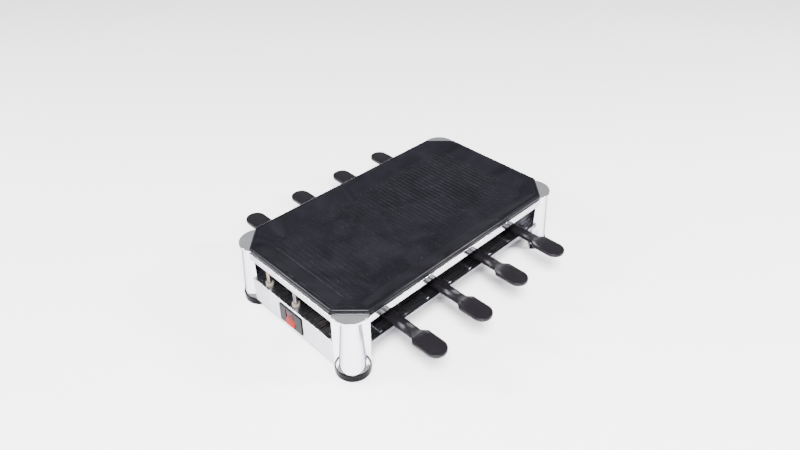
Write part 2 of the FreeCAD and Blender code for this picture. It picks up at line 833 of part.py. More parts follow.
def left_panel():
    """End panel with the switch opening and room for the element's bushes."""
    panel = turned(end_panel(), 180)
    width = SWITCH_WIDTH + 2 * FIT_GAP
    height = SWITCH_HEIGHT + 2 * FIT_GAP
    panel = panel.cut(switch_block(-half_length - CUT_PAST, box_near_x, width, height))
    for y in (tube_outer_y, TUBE_LEG_B_Y):
        start = Vector(leg_x, y, shelf_under - PANEL_SHEET)
        panel = panel.cut(hole(BUSH_FLANGE_RADIUS + FIT_GAP, PANEL_SHEET, start))
    return panel


# Switch


def switch_block(x0, x1, width, height):
    """Block centred on the switch, between two places along X."""
    half_y = width / 2
    half_z = height / 2
    return box(x0, x1, SWITCH_Y - half_y, SWITCH_Y + half_y, switch_z - half_z, switch_z + half_z)


def switch_body():
    """Black housing with a bezel outside the panel and a well for the rocker."""
    face_x = -half_length - BEZEL_PROUD
    bezel = switch_block(face_x, -half_length, BEZEL_WIDTH, BEZEL_HEIGHT)
    corners = [edge for edge in bezel.Edges if edge.BoundBox.XLength > BEZEL_PROUD / 2]
    bezel = bezel.makeFillet(BEZEL_CORNER, corners)
    front = [edge for edge in bezel.Edges if edge.BoundBox.XMax < face_x + BEZEL_EDGE]
    bezel = bezel.makeFillet(BEZEL_EDGE, front)
    back_x = -half_length + SWITCH_DEPTH
    body = switch_block(-half_length, back_x, SWITCH_WIDTH, SWITCH_HEIGHT)
    housing = join([bezel, body])
    well_width = ROCKER_WIDTH + 2 * ROCKER_GAP
    well_height = 2 * (ROCKER_SWING_RADIUS + ROCKER_GAP)
    well = switch_block(face_x - CUT_PAST, back_x - SWITCH_BACK, well_width, well_height)
    pin_reach = ROCKER_WIDTH / 2 + ROCKER_PIN_LENGTH + ROCKER_GAP
    start = Vector(pivot_x, SWITCH_Y - pin_reach, switch_z)
    bearing = rod(ROCKER_PIN_RADIUS + PIN_PLAY, pin_reach * 2, start, Vector(0, 1, 0))
    return housing.cut(well).cut(bearing)


def switch_rocker():
    """Red rocker with a dished face, on two pins, leaning to its on position."""
    half_y = ROCKER_WIDTH / 2
    radius = ROCKER_SWING_RADIUS
    front = ROCKER_OFFSET + ROCKER_DISH / 2
    end_z = math.sqrt(radius ** 2 - front ** 2)
    points = [
        (pivot_x - front, switch_z + end_z),
        (pivot_x - front + ROCKER_DISH, switch_z),
        (pivot_x - front, switch_z - end_z),
        (pivot_x, switch_z - radius - CUT_PAST),
        (pivot_x + ROCKER_BACK, switch_z - ROCKER_BACK_HALF),
        (pivot_x + ROCKER_BACK, switch_z + ROCKER_BACK_HALF),
        (pivot_x, switch_z + radius + CUT_PAST),
    ]
    key = profile_along_y(points, SWITCH_Y - half_y, SWITCH_Y + half_y)
    sweep = rod(radius, ROCKER_WIDTH, Vector(pivot_x, SWITCH_Y - half_y, switch_z), Vector(0, 1, 0))
    key = key.common(sweep)
    reach = half_y + ROCKER_PIN_LENGTH
    pins = rod(ROCKER_PIN_RADIUS, reach * 2, Vector(pivot_x, SWITCH_Y - reach, switch_z), Vector(0, 1, 0))
    rocker = join([key, pins])
    rocker.rotate(Vector(pivot_x, SWITCH_Y, switch_z), Vector(0, 1, 0), ROCKER_LEAN)
    return rocker


def neon_lamp():
    """Small glow lamp in the well behind the rocker."""
    well_floor = -half_length + SWITCH_DEPTH - SWITCH_BACK
    base = Vector(well_floor - LAMP_RADIUS, SWITCH_Y - LAMP_LENGTH / 2, switch_z)
    return rod(LAMP_RADIUS, LAMP_LENGTH, base, Vector(0, 1, 0))


# Wiring box


def switch_box():
    """Sheet box under the shelf, open towards the end panel and below."""
    wall_x = box_far_x - BOX_SHEET
    low_y = BOX_LOW_Y + BOX_SHEET
    high_y = box_high_y - BOX_SHEET
    outer = box(box_near_x, box_far_x, BOX_LOW_Y, box_high_y, box_floor, shelf_under)
    inner = box(box_near_x, wall_x, low_y, high_y, box_floor, shelf_under)
    low = shelf_under - BOX_SHEET
    lip = box_floor + BOX_SHEET
    housing = join([
        outer.cut(inner),
        box(box_near_x, box_far_x, BOX_LOW_Y - BOX_TAB, BOX_LOW_Y, low, shelf_under),
        box(box_near_x, box_far_x, box_high_y, box_high_y + BOX_TAB, low, shelf_under),
        box(box_far_x, box_far_x + BOX_TAB, BOX_LOW_Y, box_high_y, low, shelf_under),
        box(box_near_x, wall_x, BOX_LOW_Y, BOX_LOW_Y + BOX_TAB, box_floor, lip),
        box(box_near_x, wall_x, box_high_y - BOX_TAB, box_high_y, box_floor, lip),
    ])
    for base in base_screw_places():
        housing = housing.cut(hole(screw_hole, BOX_SHEET, Vector(base.x, base.y, low)))
    for base in cover_screw_places():
        housing = housing.cut(hole(screw_hole, BOX_SHEET, Vector(base.x, base.y, box_floor)))
    return housing.cut(hole(GLAND_RADIUS + FIT_GAP, BOX_SHEET, gland_centre(0), Vector(0, 1, 0)))


def gland_centre(offset):
    """Point on the cord entry's axis, measured outwards from the box's side wall."""
    x = box_far_x - GLAND_FROM_BACK
    z = box_floor + BOX_DEPTH / 2
    return Vector(x, box_high_y - BOX_SHEET + offset, z)


def cover_screw_places():
    """Seats of the screws under the box's cover."""
    seat = box_floor - BOX_SHEET
    places = []
    for x in (box_near_x + BOX_TAB, box_far_x - BOX_TAB):
        places.append(Vector(x, BOX_LOW_Y + (BOX_SHEET + BOX_TAB) / 2, seat))
        places.append(Vector(x, box_high_y - (BOX_SHEET + BOX_TAB) / 2, seat))
    return places


def switch_box_cover():
    """Flat plate that closes the box from below."""
    cover = box(box_near_x, box_far_x, BOX_LOW_Y, box_high_y, box_floor - BOX_SHEET, box_floor)
    for base in cover_screw_places():
        cover = cover.cut(hole(screw_hole, BOX_SHEET, base))
    return cover


def sheet_screws():
    """The identical short screws, all driven upwards through two sheets."""
    length = PANEL_SHEET + SHELF_SHEET - FIT_GAP
    screws = []
    for base in strap_screw_places() + base_screw_places() + cover_screw_places():
        screws.append(screw(SCREW_RADIUS, SCREW_HEAD_RADIUS, SCREW_HEAD, length, base, UP))
    return Part.makeCompound(screws)


def cord_gland():
    """Moulded bush for the mains cord, in the side wall of the box."""
    along = Vector(0, 1, 0)
    length = GLAND_INSIDE + BOX_SHEET + GLAND_FLANGE_THICKNESS
    body = rod(GLAND_RADIUS, length, gland_centre(-GLAND_INSIDE), along)
    flange = rod(GLAND_FLANGE, GLAND_FLANGE_THICKNESS, gland_centre(BOX_SHEET), along)
    gland = join([body, flange])
    return gland.cut(hole(GLAND_BORE, length, gland_centre(-GLAND_INSIDE), along))


def block_face_x():
    """Front face of the terminal block."""
    return box_far_x - BOX_SHEET - BLOCK_DEPTH


def terminal_block():
    """Three-way block on the far wall of the box, with a clamp bore in each way."""
    half = BLOCK_WIDTH / 2
    low = box_floor + (BOX_DEPTH - BLOCK_HEIGHT) / 2
    high = low + BLOCK_HEIGHT
    body = box(block_face_x(), box_far_x - BOX_SHEET, BLOCK_Y - half, BLOCK_Y + half, low, high)
    for way in (-1, 0, 1):
        y = BLOCK_Y + way * BLOCK_WIDTH / 3
        well = Vector(block_face_x() + BLOCK_DEPTH / 2, y, high - BLOCK_WELL)
        body = body.cut(rod(SCREW_RADIUS, BLOCK_WELL, well))
    return body


def block_way(way):
    """Point on the block's face where a way's lead enters."""
    z = box_floor + BOX_DEPTH / 2 - BLOCK_HEIGHT / 4
    return Vector(block_face_x(), BLOCK_Y + way * BLOCK_WIDTH / 3, z)


def thermal_cutout():
    """Disc cut-out clamped under the shelf, with two tags below."""
    centre = Vector(cutout_x, cutout_y, shelf_under - CUTOUT_HEIGHT)
    pieces = [rod(CUTOUT_RADIUS, CUTOUT_HEIGHT, centre)]
    half_x = CUTOUT_TAG_WIDTH / 2
    half_y = CUTOUT_TAG_SHEET / 2
    for side in (-1, 1):
        end = cutout_tag(side)
        pieces.append(box(end.x - half_x, end.x + half_x, end.y - half_y, end.y + half_y, end.z, centre.z))
    return join(pieces)


def cutout_tag(side):
    """Lower end of one of the cut-out's tags."""
    z = shelf_under - CUTOUT_HEIGHT - CUTOUT_TAG
    return Vector(cutout_x, cutout_y + side * CUTOUT_RADIUS / 2, z)


def lead(points):
    """Insulated lead along straight runs and tangent arcs."""
    return tube_along(points, LEAD_BEND, LEAD_RADIUS)


def leads():
    """The leads inside the wiring box, by name."""
    switch_back = -half_length + SWITCH_DEPTH
    live_start = block_way(-1)
    live_end = Vector(switch_back, live_start.y + LEAD_STEP, live_start.z)
    live_x = (switch_back + block_face_x()) / 2
    live = [
        live_start,
        Vector(live_x, live_start.y, live_start.z),
        Vector(live_x, live_end.y, live_start.z),
        live_end,
    ]
    tag_a = cutout_tag(-1)
    switched_start = Vector(switch_back, tag_a.y - LEAD_STEP, tag_a.z - LEAD_STEP - LEAD_RADIUS * 2)
    switched = [
        switched_start,
        Vector(tag_a.x, switched_start.y, switched_start.z),
        Vector(tag_a.x, tag_a.y, switched_start.z),
        tag_a,
    ]
    tag_b = cutout_tag(1)
    pin_a = element_pin(tube_outer_y)
    hot_z = tag_b.z - LEAD_BEND * 2 - PIN_RISE
    hot = [
        tag_b,
        Vector(tag_b.x, tag_b.y, hot_z),
        Vector(tag_b.x, pin_a.y, hot_z),
        Vector(tag_b.x, pin_a.y, pin_a.z),
        pin_a,
    ]
    neutral_start = block_way(0)
    pin_b = element_pin(TUBE_LEG_B_Y)
    neutral_x = neutral_start.x - LEAD_BEND * 2
    neutral = [
        neutral_start,
        Vector(neutral_x, neutral_start.y, neutral_start.z),
        Vector(neutral_x, neutral_start.y, pin_b.z),
        Vector(neutral_x, pin_b.y, pin_b.z),
        pin_b,
    ]
    earth_start = block_way(1)
    earth_x = earth_start.x - EARTH_CLEARANCE
    earth_y = (cutout_y + tube_outer_y) / 2
    earth = [
        earth_start,
        Vector(earth_x, earth_start.y, earth_start.z),
        Vector(earth_x, earth_y, earth_start.z),
        Vector(box_far_x - BOX_SHEET, earth_y, earth_start.z),
    ]
    routes = {
        "lead_live": live,
        "lead_switched": switched,
        "lead_element": hot,
        "lead_neutral": neutral,
        "lead_earth": earth,
    }
    return {name: lead(points) for name, points in routes.items()}


# Pans


def pan_outline(inset):
    """Plan of a front pan, drawn in by the same amount all round."""
    half = pan_width / 2 - inset
    front = -pan_front + inset
    rear = -pan_rear - inset
    trim = inset * (ROOT2 - 1)
    front_cut = PAN_FRONT_CUT - inset + trim
    rear_cut = PAN_REAR_CUT - inset + trim
    return [
        (half - front_cut, front),
        (half, front + front_cut),
        (half, rear - rear_cut),
        (half - rear_cut, rear),
        (rear_cut - half, rear),
        (-half, rear - rear_cut),
        (-half, front + front_cut),
        (front_cut - half, front),
    ]


def rounded_prism(points, z0, z1, radius):
    """Upright prism with rounded corners."""
    face = Part.Face(outline_wire(points, z0, radius))
    return face.extrude(Vector(0, 0, z1 - z0))


def pan():
    """Pressed steel pan with a turned rim and a welded tang for its handle."""
    shell = taper(pan_outline(PAN_DRAFT), pan_level, pan_outline(0), pan_top, PAN_CORNER)
    rim = rounded_prism(pan_outline(-PAN_RIM), pan_top - PAN_SHEET, pan_top, PAN_CORNER)
    tang = box(-TANG_WIDTH / 2, TANG_WIDTH / 2, -tang_end, -pan_front + PAN_DRAFT,
               tang_level, tang_level + TANG_SHEET)
    body = join([shell, rim, tang])
    inner_low = pan_outline(PAN_DRAFT + PAN_SHEET)
    inner_high = pan_outline(PAN_SHEET)
    inner = taper(inner_low, pan_level + PAN_SHEET, inner_high, pan_top, PAN_CORNER)
    body = body.cut(inner)
    start = Vector(0, -tang_end + SCREW_SETBACK, tang_level)
    return body.cut(hole(screw_hole, TANG_SHEET, start))


def handle():
    """Moulded handle: a ridged neck over the tang and a flat paddle with a round end."""
    low = tang_level - NECK_BELOW_TANG
    shoulder = low + NECK_SIDE
    ridge = shoulder + NECK_RIDGE
    tip = half_width + HANDLE_REACH
    paddle_start = tip - PADDLE_LENGTH
    neck_start = pan_front + PAN_RIM + SLIDE_GAP
    half = NECK_WIDTH / 2
    crest = NECK_RIDGE_WIDTH / 2
    section = [
        (-half, low),
        (half, low),
        (half, shoulder),
        (crest, ridge),
        (-crest, ridge),
        (-half, shoulder),
    ]
    neck = profile_along_y(section, -paddle_start - SHOULDER_LENGTH / 2, -neck_start)
    side = [
        Vector(-half, -neck_start, low),
        Vector(-half, -neck_start, ridge),
        Vector(-half, -paddle_start + SHOULDER_LENGTH / 2, ridge),
        Vector(-half, -paddle_start - SHOULDER_LENGTH / 2, shoulder - NECK_RIDGE / 2),
        Vector(-half, -paddle_start - SHOULDER_LENGTH / 2, low),
    ]
    profile = Part.Face(Part.makePolygon(side + side[:1])).extrude(Vector(NECK_WIDTH, 0, 0))
    neck = neck.common(profile)
    body = join([neck, paddle(low, -paddle_start, -tip)])
    slot_half = TANG_WIDTH / 2 + SLIDE_GAP
    slot_low = tang_level - SLIDE_GAP / 2
    slot_high = tang_level + TANG_SHEET + SLIDE_GAP / 2
    body = body.cut(box(-slot_half, slot_half, -tang_end - SLIDE_GAP, -neck_start, slot_low, slot_high))
    start = Vector(0, -tang_end + SCREW_SETBACK, low)
    body = body.cut(rod(SCREW_HEAD_RADIUS + SLIDE_GAP, COUNTERBORE, start))
    return body.cut(rod(screw_hole, handle_screw_length() + SLIDE_GAP, start))


def paddle(low, root_y, tip_y):
    """Flat grip with sloping shoulders, a round end and softened edges."""
    half = PADDLE_WIDTH / 2
    neck_half = NECK_WIDTH / 2
    shoulder_y = root_y - SHOULDER_LENGTH
    centre_y = tip_y + half
    a = Vector(neck_half, root_y, low)
    b = Vector(half, shoulder_y, low)
    c = Vector(half, centre_y, low)
    tip = Vector(0, tip_y, low)
    d = Vector(-half, centre_y, low)
    e = Vector(-half, shoulder_y, low)
    f = Vector(-neck_half, root_y, low)
    edges = [
        Part.LineSegment(a, b).toShape(),
        Part.LineSegment(b, c).toShape(),
        Part.Arc(c, tip, d).toShape(),
        Part.LineSegment(d, e).toShape(),
        Part.LineSegment(e, f).toShape(),
        Part.LineSegment(f, a).toShape(),
    ]
    slab = Part.Face(Part.Wire(edges)).extrude(Vector(0, 0, PADDLE_THICKNESS))
    soft = []
    for edge in slab.Edges:
        flat = edge.BoundBox.ZLength < PADDLE_EDGE
        if flat and edge.BoundBox.YLength > PADDLE_EDGE:
            soft.append(edge)
    return slab.makeFillet(PADDLE_EDGE, soft)


def handle_screw_length():
    """Length of the screw that holds a handle to its tang."""
    return NECK_BELOW_TANG + TANG_SHEET + THREAD_ABOVE_TANG


def handle_screw():
    """Screw from below, through the tang, with its head in the handle's counterbore."""
    low = tang_level - NECK_BELOW_TANG
    base = Vector(0, -tang_end + SCREW_SETBACK, low + COUNTERBORE)
    length = handle_screw_length() - COUNTERBORE
    return screw(SCREW_RADIUS, SCREW_HEAD_RADIUS, COUNTERBORE, length, base, UP)


def pushed_in(side, index):
    """How far further in than the others a bay's pan stands, as photographed."""
    return PUSHED_IN if side == "front" and index in (3, 4) else 0.0


def bay(shape, x, side, inwards):
    """Copy of a front-side piece in its bay, on the front or the back side."""
    copy = shape.copy()
    copy.translate(Vector(x, inwards, 0))
    if side == "back":
        copy.rotate(Vector(0, 0, 0), UP, 180)
    return copy


def export(name, shape):
    """Write one node and report its volume."""
    shape.exportStep("parts/" + name + ".step")
    print(name, "solids", len(shape.Solids), "volume", round(shape.Volume, 1), "valid", shape.isValid())


def build():
    """Make every node."""
    nodes = {}
    nodes["top_rail_front"] = rail(side_strip)
    nodes["top_rail_back"] = turned(nodes["top_rail_front"], 180)
    nodes["top_rail_right"] = rail(end_strip)
    nodes["top_rail_left"] = turned(nodes["top_rail_right"], 180)
    post = corner_post()
    pad = foot()
    corners = {"front_left": (-1, -1), "front_right": (1, -1), "back_left": (-1, 1), "back_right": (1, 1)}
    foot_bolts = []
    corner_bolts = []
    carrier_level, tab_level = corner_screw_levels()
    for name, (sign_x, sign_y) in corners.items():
        nodes["corner_post_" + name] = at_corner(post, sign_x, sign_y)
        nodes["foot_" + name] = at_corner(pad, sign_x, sign_y)
        foot_bolts.append(at_corner(foot_screw(), sign_x, sign_y))
        corner_bolts.append(at_corner(corner_screw(carrier_level, CARRIER_SHEET), sign_x, sign_y))
        corner_bolts.append(at_corner(corner_screw(tab_level, SHELF_SHEET), sign_x, sign_y))
    nodes["foot_screws"] = Part.makeCompound(foot_bolts)
    nodes["corner_screws"] = Part.makeCompound(corner_bolts)
    nodes["plate_carrier"] = plate_carrier()
    nodes["heating_element"] = heating_element()
    nodes["element_bushes"] = Part.makeCompound([element_bush(tube_outer_y), element_bush(TUBE_LEG_B_Y)])
    nodes["element_straps"] = Part.makeCompound([strap(x) for x in strap_places()])
    nodes["grill_plate"] = grill_plate()
    nodes["pan_shelf"] = pan_shelf()
    nodes["base_panel_left"] = left_panel()
    nodes["base_panel_right"] = end_panel()
    nodes["switch_body"] = switch_body()
    nodes["switch_rocker"] = switch_rocker()
    nodes["neon_lamp"] = neon_lamp()
    nodes["switch_box"] = switch_box()
    nodes["switch_box_cover"] = switch_box_cover()
    nodes["sheet_screws"] = sheet_screws()
    nodes["cord_gland"] = cord_gland()
    nodes["terminal_block"] = terminal_block()
    nodes["thermal_cutout"] = thermal_cutout()
    nodes.update(leads())
    pan_body = pan()
    grip = handle()
    fixing = handle_screw()
    for side in ("front", "back"):
        for index, x in enumerate(bay_centres(), start=1):
            tail = side + "_" + str(index)
            inwards = pushed_in(side, index)
            nodes["pan_" + tail] = bay(pan_body, x, side, inwards)
            nodes["handle_" + tail] = bay(grip, x, side, inwards)
            nodes["handle_screw_" + tail] = bay(fixing, x, side, inwards)
    return nodes


os.makedirs("parts", exist_ok=True)
for node_name, node_shape in build().items():
    export(node_name, node_shape)
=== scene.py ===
"""Table-top raclette grill: finishes, soft-edged pans and handles, and a studio.

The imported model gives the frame. Its solids keep their places, and this
script dresses them, models the pans, the handles and the rocker again with
rounded forms, and sets the floor, the light and the camera.
"""

import logging
import math
from dataclasses import dataclass
from enum import Enum
from typing import Callable

import bpy
from mathutils import Matrix, Vector

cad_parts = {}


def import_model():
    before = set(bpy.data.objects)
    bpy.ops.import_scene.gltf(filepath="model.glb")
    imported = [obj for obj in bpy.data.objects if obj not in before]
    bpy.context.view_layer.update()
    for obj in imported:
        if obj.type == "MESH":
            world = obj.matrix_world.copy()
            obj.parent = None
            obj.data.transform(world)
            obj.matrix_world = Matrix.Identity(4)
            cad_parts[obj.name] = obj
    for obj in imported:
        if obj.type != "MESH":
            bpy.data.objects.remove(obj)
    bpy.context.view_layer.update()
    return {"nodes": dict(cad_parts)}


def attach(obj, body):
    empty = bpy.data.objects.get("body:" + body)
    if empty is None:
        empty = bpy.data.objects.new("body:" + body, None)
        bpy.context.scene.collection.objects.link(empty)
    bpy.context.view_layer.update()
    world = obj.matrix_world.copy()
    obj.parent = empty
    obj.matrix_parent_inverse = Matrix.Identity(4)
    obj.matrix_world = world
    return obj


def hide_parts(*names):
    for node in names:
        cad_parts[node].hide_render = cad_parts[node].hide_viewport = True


log = logging.getLogger("raclette_grill")

# One millimetre, in the scene's metres
MM = 0.001
# Slack for picking points by their place
HAIR = 0.01 * MM
# Upward part of a normal above which a face counts as looking up
LOOKS_UP = 0.9
# Angle in degrees past which an edge is shaded sharp
SHARP_ANGLE = 32.0
# Spacing in metres of a Wave node's diagonal bands at a scale of one
WAVE_SPACING = 2 * math.pi / (10 * math.sqrt(3))
# Numbers of a Mix node's two colour inputs and its colour output
MIX_FIRST, MIX_SECOND, MIX_RESULT = 6, 7, 2

Stops = tuple[tuple[float, str], ...]


def linear(code: str) -> tuple[float, float, float, float]:
    """Turn an sRGB hex colour into linear RGBA.

    Args:
        code: Six hex digits.

    Returns:
        Linear red, green, blue and an alpha of one.
    """
    values = []
    for start in (0, 2, 4):
        part = int(code[start:start + 2], 16) / 255
        values.append(part / 12.92 if part <= 0.04045 else ((part + 0.055) / 1.055) ** 2.4)
    return values[0], values[1], values[2], 1.0


def per_mm(size_mm: float) -> float:
    """Texture scale, for coordinates in metres, whose cells are about that many millimetres across."""
    return 1.0 / (size_mm * MM)


def add_node(
    tree: bpy.types.NodeTree, kind: str, inputs: dict | None = None, stops: Stops = (),
    **settings: object,
) -> bpy.types.Node:
    """Add a node with its settings, values, links and colour stops.

    Args:
        tree: Node tree that the node joins.
        kind: The node's type, without the leading ShaderNode.
        inputs: Values or output sockets, by input name or number.
        stops: Position and sRGB hex colour of each stop, on a colour ramp.
        **settings: Properties of the node itself.

    Returns:
        The new node.
    """
    node = tree.nodes.new("ShaderNode" + kind)
    for key, value in settings.items():
        setattr(node, key, value)
    for key, value in (inputs or {}).items():
        if isinstance(value, bpy.types.NodeSocket):
            tree.links.new(value, node.inputs[key])
        else:
            node.inputs[key].default_value = value
    if stops:
        elements = node.color_ramp.elements
        while len(elements) < len(stops):
            elements.new(1.0)
        for element, (place, code) in zip(elements, stops):
            element.position = place
            element.color = linear(code)
    return node


@dataclass(frozen=True)
class Finish:
    """What every finish shares: a name, a colour and a roughness."""

    name: str
    colour: str
    roughness: float

    def material(self) -> bpy.types.Material:
        """Make the finish's material.

        Returns:
            A material with the finish's nodes.
        """
        made = bpy.data.materials.new(self.name)
        made.use_nodes = True
        tree = made.node_tree
        shader = tree.nodes["Principled BSDF"]
        shader.inputs["Base Color"].default_value = linear(self.colour)
        shader.inputs["Roughness"].default_value = self.roughness
        place = add_node(tree, "TexCoord").outputs["Object"]
        self.detail(tree, shader, place)
        return made

    def detail(
        self, tree: bpy.types.NodeTree, shader: bpy.types.Node, place: bpy.types.NodeSocket
    ) -> None:
        """Add what this finish has beyond colour and roughness.

        Args:
            tree: The material's node tree.
            shader: Its principled shader.
            place: Object coordinates, in metres.
        """
        raise NotImplementedError

    def tint(
        self, tree: bpy.types.NodeTree, shader: bpy.types.Node, pattern: bpy.types.NodeSocket,
        stops: Stops,
    ) -> None:
        """Let the colour follow a pattern.

        Args:
            tree: The material's node tree.
            shader: Its principled shader.
            pattern: Pattern from nought to one.
            stops: Position and sRGB hex colour of each stop.
        """
        tone = add_node(tree, "ValToRGB", {"Fac": pattern}, stops).outputs["Color"]
        tree.links.new(tone, shader.inputs["Base Color"])

    def vary(
        self, tree: bpy.types.NodeTree, shader: bpy.types.Node, pattern: bpy.types.NodeSocket,
        shares: tuple[float, float], span: tuple[float, float] = (0.0, 1.0),
    ) -> None:
        """Let the roughness follow a pattern.

        Args:
            tree: The material's node tree.
            shader: Its principled shader.
            pattern: Pattern from nought to one.
            shares: Shares of the finish's roughness at the span's two ends.
            span: The pattern's values that the shares belong to.
        """
        level = add_node(tree, "MapRange", {
            "Value": pattern, "From Min": span[0], "From Max": span[1],
            "To Min": self.roughness * shares[0], "To Max": self.roughness * shares[1]})
        tree.links.new(level.outputs["Result"], shader.inputs["Roughness"])

    def relief(
        self, tree: bpy.types.NodeTree, shader: bpy.types.Node, height: bpy.types.NodeSocket,
        depth: float, edge: float = 0.0,
    ) -> None:
        """Give the surface a bump, and round its hard edges.

        Args:
            tree: The material's node tree.
            shader: Its principled shader.
            height: Pattern from nought to one.
            depth: The pattern's depth in metres.
            edge: Radius in metres that hard edges appear to have.
        """
        bump = add_node(tree, "Bump", {"Height": height, "Distance": depth})
        if edge:
            soft = add_node(tree, "Bevel", {"Radius": edge}, samples=4)
            tree.links.new(soft.outputs["Normal"], bump.inputs["Normal"])
        tree.links.new(bump.outputs["Normal"], shader.inputs["Normal"])


@dataclass(frozen=True)
class ChromePlate(Finish):
    """Chromium over pressed or cast metal: a mirror with faint handling marks.

    The plating is bright and nearly colourless. Slow waves in the metal below
    bend its reflections, and wiped smears dull it a little here and there.
    """

    wave_mm: float = 28.0
    wave_depth: float = 0.04 * MM
    edge: float = 0.6 * MM
    grazing: str = "5a5860"
    smeared: str = "e3e4ea"
    smear_mm: float = 14.0
    smear_stretch: tuple[float, float, float] = (1.0, 1.0, 0.25)

    def detail(
        self, tree: bpy.types.NodeTree, shader: bpy.types.Node, place: bpy.types.NodeSocket
    ) -> None:
        """Add the waves, the smears and the duller look at a slant."""
        shader.inputs["Metallic"].default_value = 1.0
        shader.inputs["Specular Tint"].default_value = linear(self.grazing)
        wiped = add_node(tree, "Mapping", {"Vector": place, "Scale": self.smear_stretch})
        smear = add_node(tree, "TexNoise", {
            "Vector": wiped.outputs["Vector"], "Scale": per_mm(self.smear_mm),
            "Detail": 4.0, "Distortion": 0.6}).outputs["Fac"]
        self.vary(tree, shader, smear, (0.6, 1.9), (0.3, 0.75))
        self.tint(tree, shader, smear, ((0.25, self.colour), (0.8, self.smeared)))
        waves = add_node(tree, "TexNoise", {
            "Vector": place, "Scale": per_mm(self.wave_mm), "Detail": 1.0}).outputs["Fac"]
        self.relief(tree, shader, waves, self.wave_depth, self.edge)


@dataclass(frozen=True)
class BareMetal(Finish):
    """Rolled, turned or pressed metal without a coat, or with a thin one of zinc.

    Rolling leaves fine lines along it. Where the stretch is even, they become
    a fine mottle, as on screws and pressed caps.
    """

    line_mm: float = 0.9
    stretch: tuple[float, float, float] = (0.02, 1.0, 1.0)
    darker: str = "8f9095"
    depth: float = 0.02 * MM
    cloud_mm: float = 35.0
    edge: float = 0.4 * MM

    def detail(
        self, tree: bpy.types.NodeTree, shader: bpy.types.Node, place: bpy.types.NodeSocket
    ) -> None:
        """Add the rolling lines and a cloudy tone."""
        shader.inputs["Metallic"].default_value = 1.0
        along = add_node(tree, "Mapping", {"Vector": place, "Scale": self.stretch})
        lines = add_node(tree, "TexNoise", {
            "Vector": along.outputs["Vector"], "Scale": per_mm(self.line_mm),
            "Detail": 3.0}).outputs["Fac"]
        cloud = add_node(tree, "TexNoise", {
            "Vector": place, "Scale": per_mm(self.cloud_mm),
            "Detail": 4.0, "Distortion": 0.4}).outputs["Fac"]
        both = add_node(tree, "Math", {0: lines, 1: cloud}, operation="MULTIPLY").outputs[0]
        self.tint(tree, shader, both, ((0.1, self.darker), (0.42, self.colour)))
        self.vary(tree, shader, lines, (0.75, 1.35), (0.3, 0.7))
        self.relief(tree, shader, lines, self.depth, self.edge)


@dataclass(frozen=True)
class GalvanisedSheet(Finish):
    """Hot-dip zinc: flat grey crystals some millimetres across, each with its own tone."""

    spangle_mm: float = 7.0
    darkest: str = "7c8085"
    grain_mm: float = 1.2
    grain_depth: float = 0.02 * MM
    edge: float = 0.4 * MM

    def detail(
        self, tree: bpy.types.NodeTree, shader: bpy.types.Node, place: bpy.types.NodeSocket
    ) -> None:
        """Add the spangles."""
        shader.inputs["Metallic"].default_value = 1.0
        cells = add_node(tree, "TexVoronoi", {"Vector": place, "Scale": per_mm(self.spangle_mm)})
        tone = add_node(tree, "SeparateColor", {0: cells.outputs["Color"]}).outputs[0]
        self.tint(tree, shader, tone, ((0.0, self.darkest), (1.0, self.colour)))
        self.vary(tree, shader, tone, (0.8, 1.4))
        grain = add_node(tree, "TexNoise", {
            "Vector": place, "Scale": per_mm(self.grain_mm), "Detail": 3.0}).outputs["Fac"]
        self.relief(tree, shader, grain, self.grain_depth, self.edge)


@dataclass(frozen=True)
class NonStickCoating(Finish):
    """Sprayed and baked fluoropolymer over metal: near black, satin, with mineral flecks.

    The eye sees a soft sheen broken by a fine spray grain. Where food and
    scrapers have passed, the sheen is a little higher.
    """

    grain_mm: float = 0.8
    grain_depth: float = 0.03 * MM
    polished: str = "141418"
    index: float = 1.15
    rubbed_mm: float = 45.0
    fleck_mm: float = 1.6
    fleck: str = "6a6a70"
    fleck_share: float = 0.03
    edge: float = 0.6 * MM

    def detail(
        self, tree: bpy.types.NodeTree, shader: bpy.types.Node, place: bpy.types.NodeSocket
    ) -> None:
        """Add the spray grain, the flecks and the rubbed places."""
        rubbed = add_node(tree, "TexNoise", {
            "Vector": place, "Scale": per_mm(self.rubbed_mm),
            "Detail": 5.0, "Distortion": 0.8}).outputs["Fac"]
        grain = add_node(tree, "TexNoise", {
            "Vector": place, "Scale": per_mm(self.grain_mm), "Detail": 2.0}).outputs["Fac"]
        cells = add_node(tree, "TexVoronoi", {"Vector": place, "Scale": per_mm(self.fleck_mm)})
        base = add_node(tree, "ValToRGB", {"Fac": rubbed},
                        ((0.3, self.colour), (0.75, self.polished))).outputs["Color"]
        dots = add_node(tree, "ValToRGB", {"Fac": cells.outputs["Distance"]},
                        ((0.0, self.fleck), (0.12, "000000"))).outputs["Color"]
        mixed = add_node(tree, "Mix", {"Factor": self.fleck_share, MIX_FIRST: base, MIX_SECOND: dots},
                         data_type="RGBA", blend_type="ADD").outputs[MIX_RESULT]
        tree.links.new(mixed, shader.inputs["Base Color"])
        self.vary(tree, shader, rubbed, (1.25, 0.75), (0.3, 0.7))
        shader.inputs["IOR"].default_value = self.index
        self.relief(tree, shader, grain, self.grain_depth, self.edge)


